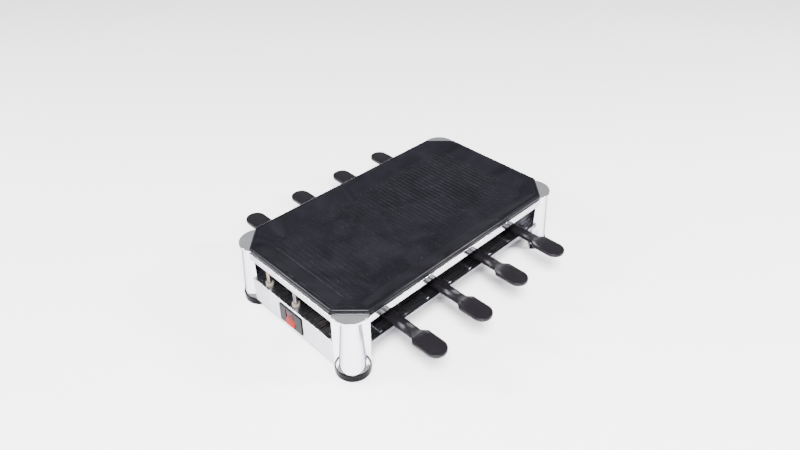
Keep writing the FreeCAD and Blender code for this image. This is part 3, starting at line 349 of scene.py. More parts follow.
@dataclass(frozen=True)
class MouldedPlastic(Finish):
    """Moulded plastic or rubber: an even colour with the spark-eroded grain of its tool."""

    grain_mm: float = 0.5
    grain_depth: float = 0.04 * MM
    rubbed: str = "0e0c10"
    edge: float = 0.3 * MM
    index: float = 1.3
    cloud_mm: float = 22.0

    def detail(
        self, tree: bpy.types.NodeTree, shader: bpy.types.Node, place: bpy.types.NodeSocket
    ) -> None:
        """Add the tool's grain and a faint cloudiness."""
        shader.inputs["IOR"].default_value = self.index
        cloud = add_node(tree, "TexNoise", {
            "Vector": place, "Scale": per_mm(self.cloud_mm),
            "Detail": 4.0, "Distortion": 0.3}).outputs["Fac"]
        grain = add_node(tree, "TexNoise", {
            "Vector": place, "Scale": per_mm(self.grain_mm), "Detail": 2.0}).outputs["Fac"]
        self.tint(tree, shader, cloud, ((0.25, self.colour), (0.85, self.rubbed)))
        self.vary(tree, shader, cloud, (1.15, 0.85))
        self.relief(tree, shader, grain, self.grain_depth, self.edge)


@dataclass(frozen=True)
class GlowingKey(Finish):
    """Translucent red moulding with the lamp behind its lower half, and painted shade on its upper half."""

    glow: str = "ff2a08"
    unlit: str = "1a0205"
    # Painted shade: the upper half's colour, darker than the lower half's
    shade: str = "2a0410"
    low_z: float = 27.5 * MM
    high_z: float = 36.5 * MM
    strength: float = 0.2
    index: float = 1.15
    cloud_mm: float = 5.0
    grain_mm: float = 0.6
    grain_depth: float = 0.02 * MM
    edge: float = 0.4 * MM

    def detail(
        self, tree: bpy.types.NodeTree, shader: bpy.types.Node, place: bpy.types.NodeSocket
    ) -> None:
        """Grade the glow from the lamp's end to the other, and paint shade on the colour towards the upper
        end.
        """
        height = add_node(tree, "SeparateXYZ", {0: place}).outputs["Z"]
        cloud = add_node(tree, "TexNoise", {
            "Vector": place, "Scale": per_mm(self.cloud_mm), "Detail": 2.0}).outputs["Fac"]
        rise = add_node(tree, "MapRange", {
            "Value": height, "From Min": self.low_z, "From Max": self.high_z,
            "To Min": 0.0, "To Max": 0.8}).outputs["Result"]
        stray = add_node(tree, "MapRange", {
            "Value": cloud, "To Min": -0.08, "To Max": 0.2}).outputs["Result"]
        level = add_node(tree, "Math", {0: rise, 1: stray}, operation="ADD", use_clamp=True).outputs[0]
        # Painted shade: the colour darkens from the lower end to the shade colour at the upper end
        self.tint(tree, shader, level, ((0.0, self.colour), (1.0, self.shade)))
        light = add_node(tree, "ValToRGB", {"Fac": level},
                         ((0.0, self.glow), (0.9, self.unlit))).outputs["Color"]
        tree.links.new(light, shader.inputs["Emission Color"])
        shader.inputs["Emission Strength"].default_value = self.strength
        shader.inputs["IOR"].default_value = self.index
        grain = add_node(tree, "TexNoise", {
            "Vector": place, "Scale": per_mm(self.grain_mm), "Detail": 3.0}).outputs["Fac"]
        self.relief(tree, shader, grain, self.grain_depth, self.edge)


@dataclass(frozen=True)
class StovePaint(Finish):
    """Heat-proof paint on sheet steel: dark, dry and slightly lumpy."""

    worn: str = "2a2724"
    brown_mm: float = 18.0
    lump_mm: float = 1.5
    lump_depth: float = 0.08 * MM
    edge: float = 0.4 * MM

    def detail(
        self, tree: bpy.types.NodeTree, shader: bpy.types.Node, place: bpy.types.NodeSocket
    ) -> None:
        """Add the lumps and browned places."""
        brown = add_node(tree, "TexNoise", {
            "Vector": place, "Scale": per_mm(self.brown_mm),
            "Detail": 5.0, "Distortion": 0.7}).outputs["Fac"]
        self.tint(tree, shader, brown, ((0.45, self.colour), (0.8, self.worn)))
        self.vary(tree, shader, brown, (0.9, 1.2))
        lumps = add_node(tree, "TexNoise", {
            "Vector": place, "Scale": per_mm(self.lump_mm), "Detail": 3.0}).outputs["Fac"]
        self.relief(tree, shader, lumps, self.lump_depth, self.edge)


@dataclass(frozen=True)
class TintedSheath(Finish):
    """Stainless tube that has run hot: straw and blue tints on grey steel."""

    straw: str = "8d7a5e"
    blue: str = "4d5570"
    tint_mm: float = 26.0
    grain_mm: float = 0.7
    grain_depth: float = 0.03 * MM

    def detail(
        self, tree: bpy.types.NodeTree, shader: bpy.types.Node, place: bpy.types.NodeSocket
    ) -> None:
        """Add the heat tints."""
        shader.inputs["Metallic"].default_value = 1.0
        heat = add_node(tree, "TexNoise", {
            "Vector": place, "Scale": per_mm(self.tint_mm),
            "Detail": 3.0, "Distortion": 0.5}).outputs["Fac"]
        self.tint(tree, shader, heat, ((0.3, self.colour), (0.5, self.straw), (0.7, self.blue)))
        self.vary(tree, shader, heat, (0.8, 1.3))
        grain = add_node(tree, "TexNoise", {
            "Vector": place, "Scale": per_mm(self.grain_mm), "Detail": 3.0}).outputs["Fac"]
        self.relief(tree, shader, grain, self.grain_depth)


@dataclass(frozen=True)
class Steatite(Finish):
    """Unglazed electrical ceramic: grey-brown, chalky, with tiny dark specks."""

    speck: str = "4f483f"
    speck_mm: float = 1.8
    chalk_mm: float = 0.6
    chalk_depth: float = 0.05 * MM
    edge: float = 0.4 * MM

    def detail(
        self, tree: bpy.types.NodeTree, shader: bpy.types.Node, place: bpy.types.NodeSocket
    ) -> None:
        """Add the specks and the chalky relief."""
        cells = add_node(tree, "TexVoronoi", {"Vector": place, "Scale": per_mm(self.speck_mm)})
        self.tint(tree, shader, cells.outputs["Distance"], ((0.02, self.speck), (0.12, self.colour)))
        chalk = add_node(tree, "TexNoise", {
            "Vector": place, "Scale": per_mm(self.chalk_mm), "Detail": 3.0}).outputs["Fac"]
        self.relief(tree, shader, chalk, self.chalk_depth, self.edge)


@dataclass(frozen=True)
class LampGlass(Finish):
    """Small blown glow lamp, clear, with a warm glow inside."""

    clearness: float = 0.7
    strength: float = 2.0
    bright: str = "ff9a4a"
    dim: str = "ff5a2a"
    glow_mm: float = 3.0

    def detail(
        self, tree: bpy.types.NodeTree, shader: bpy.types.Node, place: bpy.types.NodeSocket
    ) -> None:
        """Make it clear, with a warm light that varies along it."""
        shader.inputs["Transmission Weight"].default_value = self.clearness
        shader.inputs["Emission Strength"].default_value = self.strength
        cloud = add_node(tree, "TexNoise", {
            "Vector": place, "Scale": per_mm(self.glow_mm), "Detail": 3.0}).outputs["Fac"]
        glow = add_node(tree, "ValToRGB", {"Fac": cloud},
                        ((0.3, self.bright), (0.7, self.dim))).outputs["Color"]
        tree.links.new(glow, shader.inputs["Emission Color"])


@dataclass(frozen=True)
class BraidedSleeve(Finish):
    """Glass-fibre sleeve on a lead: a braid with painted shade between its threads, and a second colour in
    bands if it has one.

    The real braid's threads are about 0.7 mm apart. They are drawn some seven
    times as coarse, to show at all.
    """

    second: str = ""
    # Painted shade: the colour of the hollows between the braid's threads
    painted_hollow_shade: str = "2a2622"
    braid_mm: float = 5.08
    braid_depth: float = 0.05 * MM
    band_mm: float = 17.41

    def detail(
        self, tree: bpy.types.NodeTree, shader: bpy.types.Node, place: bpy.types.NodeSocket
    ) -> None:
        """Add the braid, with painted shade in its hollows, and the bands."""
        weave = add_node(tree, "TexWave", {
            "Vector": place, "Scale": WAVE_SPACING * per_mm(self.braid_mm), "Distortion": 3.0,
        }, bands_direction="DIAGONAL").outputs["Fac"]
        # Painted shade: the braid's hollows get a dark colour, its crests the sleeve's own
        tone = add_node(tree, "ValToRGB", {"Fac": weave},
                        ((0.2, self.painted_hollow_shade), (0.7, self.colour))).outputs["Color"]
        if self.second:
            band = add_node(tree, "TexWave", {
                "Vector": place, "Scale": WAVE_SPACING * per_mm(self.band_mm),
            }, bands_direction="DIAGONAL").outputs["Fac"]
            side = add_node(tree, "ValToRGB", {"Fac": band},
                            ((0.45, "000000"), (0.55, "ffffff"))).outputs["Color"]
            tone = add_node(tree, "Mix", {
                "Factor": side, MIX_FIRST: tone, MIX_SECOND: linear(self.second),
            }, data_type="RGBA").outputs[MIX_RESULT]
        tree.links.new(tone, shader.inputs["Base Color"])
        self.relief(tree, shader, weave, self.braid_depth)


class Surface(Enum):
    """The grill's finishes, by the record's slots."""

    CHROME = ("chrome", ChromePlate("Chrome plate on pressed steel, polished", "f2f2f5", 0.05))
    SHELF = ("polished_steel", BareMetal(
        "Stainless sheet, bright rolled", "8e8e94", 0.26, line_mm=1.1, stretch=(0.015, 1.0, 1.0),
        darker="7c7c82", depth=0.005 * MM))
    PLATE = ("cast_plate", NonStickCoating(
        "Fluoropolymer on cast aluminium, sprayed", "0b0b0e", 0.18))
    PAN = ("pan_coating", NonStickCoating(
        "Fluoropolymer on pressed steel, sprayed", "08080a", 0.34, grain_mm=0.6,
        grain_depth=0.02 * MM))
    HANDLE = ("handle_plastic", MouldedPlastic("Phenolic resin, moulded", "09070a", 0.36))
    FOOT = ("foot_rubber", MouldedPlastic(
        "Nitrile rubber, moulded", "040405", 0.28, grain_mm=0.9, grain_depth=0.03 * MM,
        rubbed="08080a", edge=0.8 * MM, index=1.14))
    FRAME = ("frame_steel", StovePaint("Stove paint on sheet steel, sprayed", "121112", 0.55))
    STRAP = ("strap_steel", BareMetal(
        "Mild steel strip, rolled", "8d8a86", 0.38, line_mm=0.8, stretch=(1.0, 0.03, 1.0),
        darker="5d5750"))
    SHEATH = ("element_sheath", TintedSheath("Stainless tube, heat tinted", "6d6a68", 0.33))
    SCREW = ("screw_steel", BareMetal(
        "Zinc-plated steel, turned", "b5b6b8", 0.28, line_mm=0.4, stretch=(1.0, 1.0, 1.0),
        darker="7f8084"))
    BUSH = ("bush_ceramic", Steatite("Steatite, pressed and fired", "6e675e", 0.62))
    BLOCK = ("block_plastic", MouldedPlastic(
        "Polyamide, moulded", "ded9cb", 0.5, grain_depth=0.03 * MM, rubbed="cfc8b6"))
    SWITCH = ("switch_black", MouldedPlastic(
        "ABS, moulded glossy", "040405", 0.17, grain_mm=0.6, grain_depth=0.01 * MM,
        rubbed="070708", edge=0.5 * MM, index=1.14))
    KEY = ("rocker_red", GlowingKey("Polycarbonate, moulded translucent red", "780c04", 0.25))
    LAMP = ("lamp_glass", LampGlass("Soda glass, blown", "f6dcc6", 0.08))
    BOX = ("box_steel", GalvanisedSheet("Galvanised sheet, folded", "a6a9ac", 0.42))
    CUTOUT = ("cutout_metal", BareMetal(
        "Aluminium cap, pressed", "b9b7b0", 0.32, line_mm=0.5, stretch=(1.0, 1.0, 1.0),
        darker="8b8984"))
    GLAND = ("gland_rubber", MouldedPlastic(
        "Soft PVC, moulded", "18181a", 0.55, grain_mm=0.6, rubbed="252527"))
    BROWN = ("lead_brown", BraidedSleeve("Glass-fibre sleeve, braided brown", "5a3420", 0.7))
    BLUE = ("lead_blue", BraidedSleeve("Glass-fibre sleeve, braided blue", "2a4f9a", 0.7))
    EARTH = ("lead_earth", BraidedSleeve(
        "Glass-fibre sleeve, braided in two colours", "4f8f2e", 0.7, second="c9c12f"))


class Wardrobe:
    """Makes each material once and puts it on nodes and pieces."""

    def __init__(self, nodes: dict[str, bpy.types.Object]) -> None:
        """Keep the CAD nodes that materials go on.

        Args:
            nodes: The CAD nodes by name.
        """
        self.nodes = nodes
        self.made: dict[Surface, bpy.types.Material] = {}

    def material(self, surface: Surface) -> bpy.types.Material:
        """Material of a surface, made on first use.

        Args:
            surface: The surface asked for.

        Returns:
            Its material.
        """
        if surface not in self.made:
            self.made[surface] = surface.value[1].material()
        return self.made[surface]

    def node(self, name: str, surface: Surface) -> None:
        """Put a finish on a CAD node.

        Args:
            name: The node's name.
            surface: Finish that it gets.
        """
        made = self.material(surface)
        for place in self.nodes[name].material_slots:
            place.material = made
        log.info("%s: %s", name, made.name)

    def piece(self, piece: bpy.types.Object, surface: Surface) -> None:
        """Put a finish on a modelled piece.

        Args:
            piece: The piece.
            surface: Finish that it gets.
        """
        piece.data.materials.clear()
        piece.data.materials.append(self.material(surface))


def only(piece: bpy.types.Object) -> None:
    """Select one object alone and make it active.

    Args:
        piece: The object.
    """
    bpy.ops.object.select_all(action="DESELECT")
    piece.select_set(True)
    bpy.context.view_layer.objects.active = piece


def block(name: str, low: Vector, high: Vector) -> bpy.types.Object:
    """Start a piece from a box between two corners.

    Args:
        name: The piece's name.
        low: Lowest corner, in metres.
        high: Highest corner, in metres.

    Returns:
        The box, at the origin with its place in its mesh.
    """
    bpy.ops.object.select_all(action="DESELECT")
    bpy.ops.mesh.primitive_cube_add(size=1, location=(low + high) / 2, scale=high - low)
    piece = bpy.context.object
    piece.name = name
    bpy.ops.object.transform_apply(location=True, rotation=True, scale=True)
    return piece


def pick(piece: bpy.types.Object, kind: str, wanted: Callable) -> None:
    """Select, in edit mode, the vertices, edges or faces that pass a test.

    Args:
        piece: Object in edit mode.
        kind: VERT, EDGE or FACE.
        wanted: Test of a vertex, an edge's two vertices, or a face.
    """
    bpy.ops.mesh.select_mode(type=kind)
    bpy.ops.mesh.select_all(action="DESELECT")
    bpy.ops.object.mode_set(mode="OBJECT")
    mesh = piece.data
    if kind == "EDGE":
        for edge in mesh.edges:
            first, second = (mesh.vertices[index] for index in edge.vertices)
            edge.select = bool(wanted(first, second))
    else:
        for item in mesh.vertices if kind == "VERT" else mesh.polygons:
            item.select = bool(wanted(item))
    bpy.ops.object.mode_set(mode="EDIT")


def modify(piece: bpy.types.Object, kind: str, **settings: object) -> None:
    """Add a modifier and apply it.

    Args:
        piece: Object that gets it.
        kind: The modifier's type.
        **settings: The modifier's properties.
    """
    only(piece)
    modifier = piece.modifiers.new(kind.title(), kind)
    for key, value in settings.items():
        setattr(modifier, key, value)
    bpy.ops.object.modifier_apply(modifier=modifier.name)


def round_edges(piece: bpy.types.Object, width: float, segments: int, degrees: float) -> None:
    """Round the edges at which a piece turns by more than an angle.

    Args:
        piece: Object that gets rounded.
        width: Width of the rounding, in metres.
        segments: Steps around each edge.
        degrees: Angle past which an edge is rounded.
    """
    modify(piece, "BEVEL", width=width, segments=segments, limit_method="ANGLE",
           angle_limit=math.radians(degrees))


def combine(piece: bpy.types.Object, tool: bpy.types.Object, operation: str) -> None:
    """Join or cut a piece with another, which is then removed.

    Args:
        piece: Object that stays.
        tool: Object that is used up.
        operation: UNION or DIFFERENCE.
    """
    modify(piece, "BOOLEAN", object=tool, operation=operation, solver="EXACT")
    bpy.data.objects.remove(tool)


def smooth(piece: bpy.types.Object) -> None:
    """Shade a piece smooth except across sharp edges."""
    only(piece)
    bpy.ops.object.shade_smooth_by_angle(angle=math.radians(SHARP_ANGLE))


def copy_of(piece: bpy.types.Object, name: str, place: Matrix) -> bpy.types.Object:
    """Copy a piece with its own mesh, moved in the mesh.

    Args:
        piece: Object to copy.
        name: Name of the copy.
        place: Where the copy goes, from where the piece is.

    Returns:
        The copy.
    """
    twin = bpy.data.objects.new(name, piece.data.copy())
    twin.data.transform(place)
    bpy.context.scene.collection.objects.link(twin)
    return twin


@dataclass
class Surround:
    """Chromed rails, posts and end panels, with the feet under them."""

    wardrobe: Wardrobe

    def dress(self) -> None:
        """Finish the rails, posts, panels and feet."""
        for side in ("front", "back", "left", "right"):
            self.wardrobe.node("top_rail_" + side, Surface.CHROME)
        for corner in ("front_left", "front_right", "back_left", "back_right"):
            self.wardrobe.node("corner_post_" + corner, Surface.CHROME)
            self.wardrobe.node("foot_" + corner, Surface.FOOT)
        self.wardrobe.node("base_panel_left", Surface.CHROME)
        self.wardrobe.node("base_panel_right", Surface.CHROME)
        self.wardrobe.node("pan_shelf", Surface.SHELF)


@dataclass
class Heater:
    """The cooking plate, its carrier and the element below it."""

    wardrobe: Wardrobe

    def dress(self) -> None:
        """Finish the plate, the carrier, the element and what holds it."""
        self.wardrobe.node("grill_plate", Surface.PLATE)
        self.wardrobe.node("plate_carrier", Surface.FRAME)
        self.wardrobe.node("heating_element", Surface.SHEATH)
        self.wardrobe.node("element_bushes", Surface.BUSH)
        self.wardrobe.node("element_straps", Surface.STRAP)


@dataclass
class PanStation:
    """Four pans on each long side, each with its handle."""

    wardrobe: Wardrobe
    # Bays
    pitch: float = 96.0 * MM
    per_side: int = 4
    pushed_bays: tuple[str, ...] = ("front_3", "front_4")
    pushed_in: float = 9.0 * MM
    # Pan
    pan_half: float = 41.5 * MM
    pan_front: float = 104.0 * MM
    pan_rear: float = 8.0 * MM
    front_cut: float = 26.0 * MM
    rear_cut: float = 8.0 * MM
    draft: float = 4.0 * MM
    sheet: float = 1.0 * MM
    rim: float = 2.0 * MM
    floor_round: float = 2.6 * MM
    floor_level: float = 57.3 * MM
    pan_height: float = 15.0 * MM
    # Tang, whose root is a share of the front wall's draft
    tang_half: float = 6.0 * MM
    tang_sheet: float = 2.0 * MM
    tang_end: float = 130.0 * MM
    tang_level: float = 64.3 * MM
    tang_root: float = 0.45
    tang_round: float = 0.4 * MM
    # Handle
    handle_low: float = 61.9 * MM
    shoulder_level: float = 68.4 * MM
    ridge: float = 3.0 * MM
    neck_half: float = 9.5 * MM
    crest_half: float = 4.0 * MM
    neck_start: float = 106.1 * MM
    paddle_half: float = 16.5 * MM
    paddle_start: float = 170.0 * MM
    paddle_tip: float = 223.0 * MM
    paddle_sheet: float = 5.5 * MM
    shoulder_run: float = 8.0 * MM
    grip_round: float = 1.1 * MM
    paddle_points: int = 56
    clearance: float = 0.1 * MM
    screw_setback: float = 12.0 * MM
    screw_head: float = 2.9 * MM
    screw_points: int = 24

    def pan(self) -> bpy.types.Object:
        """Model one front pan: a pressed tray with cut corners, a turned rim and a tang.

        Returns:
            The pan, in the middle of the front side.
        """
        inset = self.draft + self.sheet
        half = self.pan_half - inset
        front = -self.pan_front + inset
        rear = -self.pan_rear - inset
        top = self.floor_level + self.pan_height
        tray = block("pan_pattern", Vector((-half, front, self.floor_level + self.sheet)),
                     Vector((half, rear, top)))
        bpy.ops.object.mode_set(mode="EDIT")
        trim = inset * (math.sqrt(2) - 1)
        for sign in (-1, 1):
            for end, cut, away in ((front, self.front_cut, -1), (rear, self.rear_cut, 1)):
                reach = cut - inset + trim
                bpy.ops.mesh.select_all(action="SELECT")
                bpy.ops.mesh.bisect(plane_co=(sign * (half - reach), end, 0), plane_no=(sign, away, 0),
                                    clear_outer=True, use_fill=True)
        pick(tray, "FACE", lambda face: face.normal.z > LOOKS_UP)
        middle = (0, (front + rear) / 2, 0)
        reach_y = (rear - front) / 2
        rim_x = half + self.draft
        rim_y = reach_y + self.draft
        bpy.ops.transform.resize(value=(rim_x / half, rim_y / reach_y, 1), center_override=middle)
        bpy.ops.mesh.delete(type="FACE")
        bpy.ops.object.mode_set(mode="OBJECT")
        round_edges(tray, self.floor_round, segments=3, degrees=20)
        bpy.ops.object.mode_set(mode="EDIT")
        pick(tray, "EDGE", lambda a, b: min(a.co.z, b.co.z) > top - HAIR)
        bpy.ops.mesh.extrude_region_move()
        flange = self.rim + self.sheet
        bpy.ops.transform.resize(value=((rim_x + flange) / rim_x, (rim_y + flange) / rim_y, 1),
                                 center_override=middle)
        bpy.ops.mesh.select_all(action="SELECT")
        bpy.ops.mesh.normals_make_consistent(inside=False)
        bpy.ops.object.mode_set(mode="OBJECT")
        modify(tray, "SOLIDIFY", thickness=self.sheet, offset=-1.0)
        root = -self.pan_front + self.draft * self.tang_root
        tang = block("tang", Vector((-self.tang_half, -self.tang_end, self.tang_level)),
                     Vector((self.tang_half, root, self.tang_level + self.tang_sheet)))
        round_edges(tang, self.tang_round, segments=2, degrees=30)
        bpy.ops.object.select_all(action="DESELECT")
        tang.select_set(True)
        tray.select_set(True)
        bpy.context.view_layer.objects.active = tray
        bpy.ops.object.join()
        smooth(tray)
        return tray

    def paddle(self) -> bpy.types.Object:
        """Model the grip's flat part: a round end, straight sides and sloping shoulders.

        Returns:
            The paddle, as a slab.
        """
        centre = -self.paddle_tip + self.paddle_half
        bpy.ops.object.select_all(action="DESELECT")
        bpy.ops.mesh.primitive_circle_add(vertices=self.paddle_points, radius=self.paddle_half,
                                          fill_type="NOTHING", location=(0, centre, self.handle_low))
        slab = bpy.context.object
        bpy.ops.object.transform_apply(location=True, rotation=True, scale=True)
        bpy.ops.object.mode_set(mode="EDIT")
        pick(slab, "VERT", lambda v: v.co.y > centre + HAIR)
        bpy.ops.mesh.delete(type="VERT")
        pick(slab, "VERT", lambda v: v.co.y > centre - HAIR)
        side = self.paddle_tip - self.paddle_half - self.paddle_start - self.shoulder_run
        bpy.ops.mesh.extrude_region_move(TRANSFORM_OT_translate={"value": (0, side, 0)})
        bpy.ops.mesh.extrude_region_move(TRANSFORM_OT_translate={"value": (0, self.shoulder_run, 0)})
        bpy.ops.transform.resize(value=((self.neck_half - self.clearance) / self.paddle_half, 1, 1),
                                 center_override=(0, centre, 0))
        bpy.ops.mesh.select_all(action="SELECT")
        bpy.ops.mesh.edge_face_add()
        bpy.ops.mesh.extrude_region_move(TRANSFORM_OT_translate={"value": (0, 0, self.paddle_sheet)})
        bpy.ops.mesh.select_all(action="SELECT")
        bpy.ops.mesh.normals_make_consistent(inside=False)
        bpy.ops.object.mode_set(mode="OBJECT")
        return slab

    def handle(self) -> bpy.types.Object:
        """Model one front handle: the paddle, and a neck with a ridge that ends in a point.

        Returns:
            The handle, in the middle of the front side.
        """
        far = -self.paddle_start - self.shoulder_run / 2
        neck = block("handle_pattern", Vector((-self.neck_half, far, self.handle_low)),
                     Vector((self.neck_half, -self.neck_start, self.shoulder_level)))
        bpy.ops.object.mode_set(mode="EDIT")
        pick(neck, "FACE", lambda face: face.normal.z > LOOKS_UP)
        bpy.ops.mesh.extrude_region_move(TRANSFORM_OT_translate={"value": (0, 0, self.ridge)})
        bpy.ops.transform.resize(value=(self.crest_half / self.neck_half, 1, 1), center_override=(0, 0, 0))
        pick(neck, "VERT", lambda v: v.co.y < far + HAIR and v.co.z > self.shoulder_level + HAIR)
        bpy.ops.transform.translate(value=(0, self.shoulder_run, 0))
        pick(neck, "VERT", lambda v: v.co.y < far + HAIR and v.co.z > self.shoulder_level - HAIR)
        bpy.ops.transform.translate(value=(0, 0, -self.ridge / 2))
        bpy.ops.object.mode_set(mode="OBJECT")
        paddle = self.paddle()
        for part in (neck, paddle):
            round_edges(part, self.grip_round, segments=3, degrees=24)
        combine(neck, paddle, "UNION")
        slot = block("slot", Vector((-self.tang_half - self.clearance, -self.tang_end - self.clearance,
                                     self.tang_level - self.clearance / 2)),
                     Vector((self.tang_half + self.clearance, -self.neck_start + self.draft,
                             self.tang_level + self.tang_sheet + self.clearance / 2)))
        combine(neck, slot, "DIFFERENCE")
        bpy.ops.object.select_all(action="DESELECT")
        depth = self.tang_level + self.tang_sheet * 2 - self.handle_low
        bpy.ops.mesh.primitive_cylinder_add(
            vertices=self.screw_points, radius=self.screw_head, depth=depth,
            location=(0, -self.tang_end + self.screw_setback, self.handle_low + depth / 2 - self.clearance))
        combine(neck, bpy.context.object, "DIFFERENCE")
        smooth(neck)
        return neck

    def build(self) -> None:
        """Model a pan and a handle once, and set the copies in their bays."""
        patterns = {"pan": (self.pan(), Surface.PAN), "handle": (self.handle(), Surface.HANDLE)}
        for side, turn in (("front", 0.0), ("back", math.pi)):
            for index in range(self.per_side):
                bay = side + "_" + str(index + 1)
                x = (index - (self.per_side - 1) / 2) * self.pitch
                y = self.pushed_in if bay in self.pushed_bays else 0.0
                place = Matrix.Rotation(turn, 4, "Z") @ Matrix.Translation((x, y, 0))
                for kind, (pattern, surface) in patterns.items():
                    piece = copy_of(pattern, kind + "_" + bay + "_formed", place)
                    self.wardrobe.piece(piece, surface)
                    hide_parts(kind + "_" + bay)
                    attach(piece, "pan_" + bay)
                    log.info("%s: %d faces", piece.name, len(piece.data.polygons))
                self.wardrobe.node("handle_screw_" + bay, Surface.SCREW)
        for pattern, _ in patterns.values():
            bpy.data.objects.remove(pattern)


@dataclass
class SwitchGroup:
    """The rocker switch in the left end panel."""

    wardrobe: Wardrobe
    pivot: tuple[float, float, float] = (-228.5 * MM, 2.0 * MM, 33.5 * MM)
    swing_radius: float = 12.5 * MM
    half_width: float = 10.5 * MM
    front: float = 3.85 * MM
    dish: float = 1.7 * MM
    back: float = 6.0 * MM
    back_half: float = 5.0 * MM
    edge_round: float = 0.8 * MM
    lean: float = 5.5

    def rocker(self) -> bpy.types.Object:
        """Model the rocker: a dished face, rounded edges and sides that draw in towards the back.

        Returns:
            The rocker, upright on its pivot at the origin.
        """
        reach = math.sqrt(self.swing_radius ** 2 - self.front ** 2)
        key = block("rocker_pattern", Vector((-self.front, -self.half_width, -reach)),
                    Vector((self.back, self.half_width, reach)))
        bpy.ops.object.mode_set(mode="EDIT")
        bpy.ops.mesh.select_all(action="SELECT")
        bpy.ops.mesh.bisect(plane_co=(0, 0, 0), plane_no=(0, 0, 1))
        pick(key, "VERT", lambda v: v.co.x < 0 and abs(v.co.z) < HAIR)
        bpy.ops.transform.translate(value=(self.dish, 0, 0))
        pick(key, "VERT", lambda v: v.co.x > 0 and abs(v.co.z) > HAIR)
        bpy.ops.transform.resize(value=(1, 1, self.back_half / reach), center_override=(0, 0, 0))
        bpy.ops.object.mode_set(mode="OBJECT")
        round_edges(key, self.edge_round, segments=4, degrees=20)
        smooth(key)
        return key

    def build(self) -> None:
        """Finish the housing and the lamp, and set the rocker on its pivot."""
        self.wardrobe.node("switch_body", Surface.SWITCH)
        self.wardrobe.node("neon_lamp", Surface.LAMP)
        pattern = self.rocker()
        place = Matrix.Translation(self.pivot) @ Matrix.Rotation(math.radians(self.lean), 4, "Y")
        piece = copy_of(pattern, "switch_rocker_formed", place)
        self.wardrobe.piece(piece, Surface.KEY)
        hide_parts("switch_rocker")
        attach(piece, "rocker")
        log.info("%s: %d faces", piece.name, len(piece.data.polygons))
        bpy.data.objects.remove(pattern)


@dataclass
class Wiring:
    """The box under the shelf, what it holds, and the grill's screws."""

    wardrobe: Wardrobe

    def dress(self) -> None:
        """Finish the box, the fittings, the leads and the screws."""
        finishes = {
            "switch_box": Surface.BOX,
            "switch_box_cover": Surface.BOX,
            "cord_gland": Surface.GLAND,
            "terminal_block": Surface.BLOCK,
            "thermal_cutout": Surface.CUTOUT,
            "lead_live": Surface.BROWN,
            "lead_switched": Surface.BROWN,
            "lead_element": Surface.BROWN,
            "lead_neutral": Surface.BLUE,
            "lead_earth": Surface.EARTH,
            "sheet_screws": Surface.SCREW,
            "corner_screws": Surface.SCREW,
            "foot_screws": Surface.SCREW,
        }
        for name, surface in finishes.items():
            self.wardrobe.node(name, surface)


@dataclass(frozen=True)
class Lamp:
    """A soft square light: its place and side in metres, and its power in watts."""

    name: str
    place: tuple[float, float, float]
    side: float
    power: float


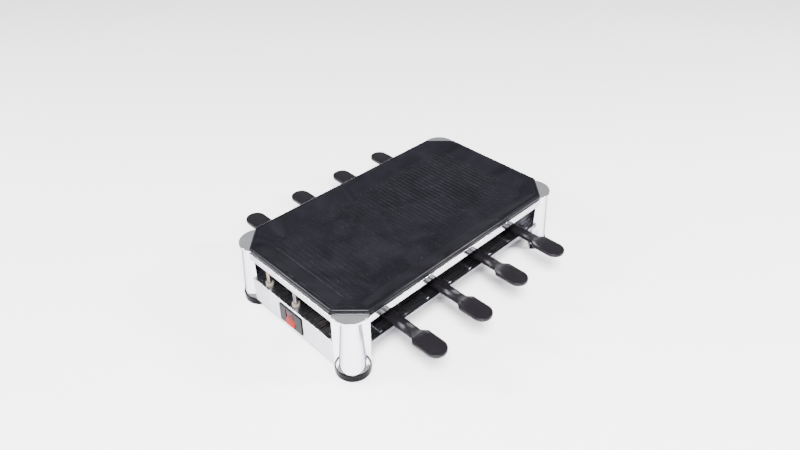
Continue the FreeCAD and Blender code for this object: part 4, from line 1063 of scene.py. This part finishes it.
@dataclass
class Studio:
    """Pale floor, soft light and the camera at the photograph's angle."""

    floor_size: float = 8.0
    floor_colour: str = "ecebee"
    floor_patch: str = "eae9ed"
    floor_patch_mm: float = 400.0
    floor_roughness: float = 0.9
    # Sky, from below the horizon to overhead, and its shade beyond the grill
    sky_strength: float = 0.9
    sky_tones: Stops = ((0.0, "dddce2"), (0.5, "e6e6ea"), (0.85, "f2f2f5"), (1.0, "ffffff"))
    sky_span: tuple[float, float] = (-0.1, 1.0)
    beyond: tuple[float, float, float] = (0.707, 0.707, 0.0)
    beyond_share: float = 0.8
    beyond_span: tuple[float, float] = (0.2, 0.9)
    # Lamps, and the place that they face
    lamps: tuple[Lamp, ...] = (
        Lamp("key", (-1.1, -1.1, 2.1), 0.8, 330.0),
        Lamp("right", (1.4, -1.5, 1.4), 0.5, 110.0),
        Lamp("left", (-1.5, 1.4, 1.4), 0.5, 90.0),
    )
    lit_place: tuple[float, float, float] = (0.0, 0.0, 0.05)
    # Camera's place, the direction from the scene to it, and its lens and sensor in millimetres
    eye: tuple[float, float, float] = (-0.6088, -0.6043, 0.7270)
    back: tuple[float, float, float] = (-0.5658, -0.5668, 0.5989)
    lens: float = 29.697
    sensor: float = 36.0

    def floor(self) -> None:
        """Lay the floor, which isn't part of the grill."""
        bpy.ops.object.select_all(action="DESELECT")
        bpy.ops.mesh.primitive_plane_add(size=self.floor_size)
        floor = bpy.context.object
        floor.name = "studio_floor"
        made = bpy.data.materials.new("Matt paper, pale")
        made.use_nodes = True
        tree = made.node_tree
        shader = tree.nodes["Principled BSDF"]
        place = add_node(tree, "TexCoord").outputs["Object"]
        patches = add_node(tree, "TexNoise", {
            "Vector": place, "Scale": per_mm(self.floor_patch_mm), "Detail": 3.0}).outputs["Fac"]
        tone = add_node(tree, "ValToRGB", {"Fac": patches},
                        ((0.3, self.floor_patch), (0.7, self.floor_colour))).outputs["Color"]
        tree.links.new(tone, shader.inputs["Base Color"])
        shader.inputs["Roughness"].default_value = self.floor_roughness
        floor.data.materials.append(made)

    def sky(self) -> None:
        """Light the room softly from all round, brighter above and darker beyond the grill."""
        world = bpy.data.worlds.new("soft studio")
        bpy.context.scene.world = world
        world.use_nodes = True
        tree = world.node_tree
        ray = add_node(tree, "TexCoord").outputs["Generated"]
        height = add_node(tree, "SeparateXYZ", {0: ray}).outputs["Z"]
        rise = add_node(tree, "MapRange", {
            "Value": height, "From Min": self.sky_span[0], "From Max": self.sky_span[1]})
        tone = add_node(tree, "ValToRGB", {"Fac": rise.outputs["Result"]}, self.sky_tones)
        beyond = add_node(tree, "VectorMath", {0: ray, 1: self.beyond}, operation="DOT_PRODUCT")
        shade = add_node(tree, "MapRange", {
            "Value": beyond.outputs["Value"], "From Min": self.beyond_span[0],
            "From Max": self.beyond_span[1], "To Min": 1.0, "To Max": self.beyond_share})
        both = add_node(tree, "Mix", {
            "Factor": 1.0, MIX_FIRST: tone.outputs["Color"], MIX_SECOND: shade.outputs["Result"],
        }, data_type="RGBA", blend_type="MULTIPLY")
        tree.links.new(both.outputs[MIX_RESULT], tree.nodes["Background"].inputs["Color"])
        tree.nodes["Background"].inputs["Strength"].default_value = self.sky_strength

    def hang(self, lamp: Lamp) -> None:
        """Hang a lamp so that it faces the grill.

        Args:
            lamp: The lamp.
        """
        data = bpy.data.lights.new(lamp.name, "AREA")
        data.shape = "SQUARE"
        data.size = lamp.side
        data.energy = lamp.power
        light = bpy.data.objects.new(lamp.name, data)
        bpy.context.scene.collection.objects.link(light)
        light.location = lamp.place
        facing = Vector(self.lit_place) - Vector(lamp.place)
        light.rotation_euler = facing.to_track_quat("-Z", "Y").to_euler()

    def camera(self) -> None:
        """Set the camera where the photograph was taken from."""
        data = bpy.data.cameras.new("camera")
        data.lens = self.lens
        data.sensor_width = self.sensor
        camera = bpy.data.objects.new("camera", data)
        bpy.context.scene.collection.objects.link(camera)
        camera.location = self.eye
        camera.rotation_euler = (-Vector(self.back)).to_track_quat("-Z", "Y").to_euler()
        bpy.context.scene.camera = camera

    def build(self) -> None:
        """Set up the floor, the light and the camera."""
        self.floor()
        self.sky()
        for lamp in self.lamps:
            self.hang(lamp)
        self.camera()


def main() -> None:
    """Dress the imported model, model the new pieces and light them."""
    logging.basicConfig(level=logging.INFO, format="%(name)s: %(message)s")
    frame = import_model()
    wardrobe = Wardrobe(frame["nodes"])
    Surround(wardrobe).dress()
    Heater(wardrobe).dress()
    PanStation(wardrobe).build()
    SwitchGroup(wardrobe).build()
    Wiring(wardrobe).dress()
    Studio().build()


if __name__ == "__main__":
    main()
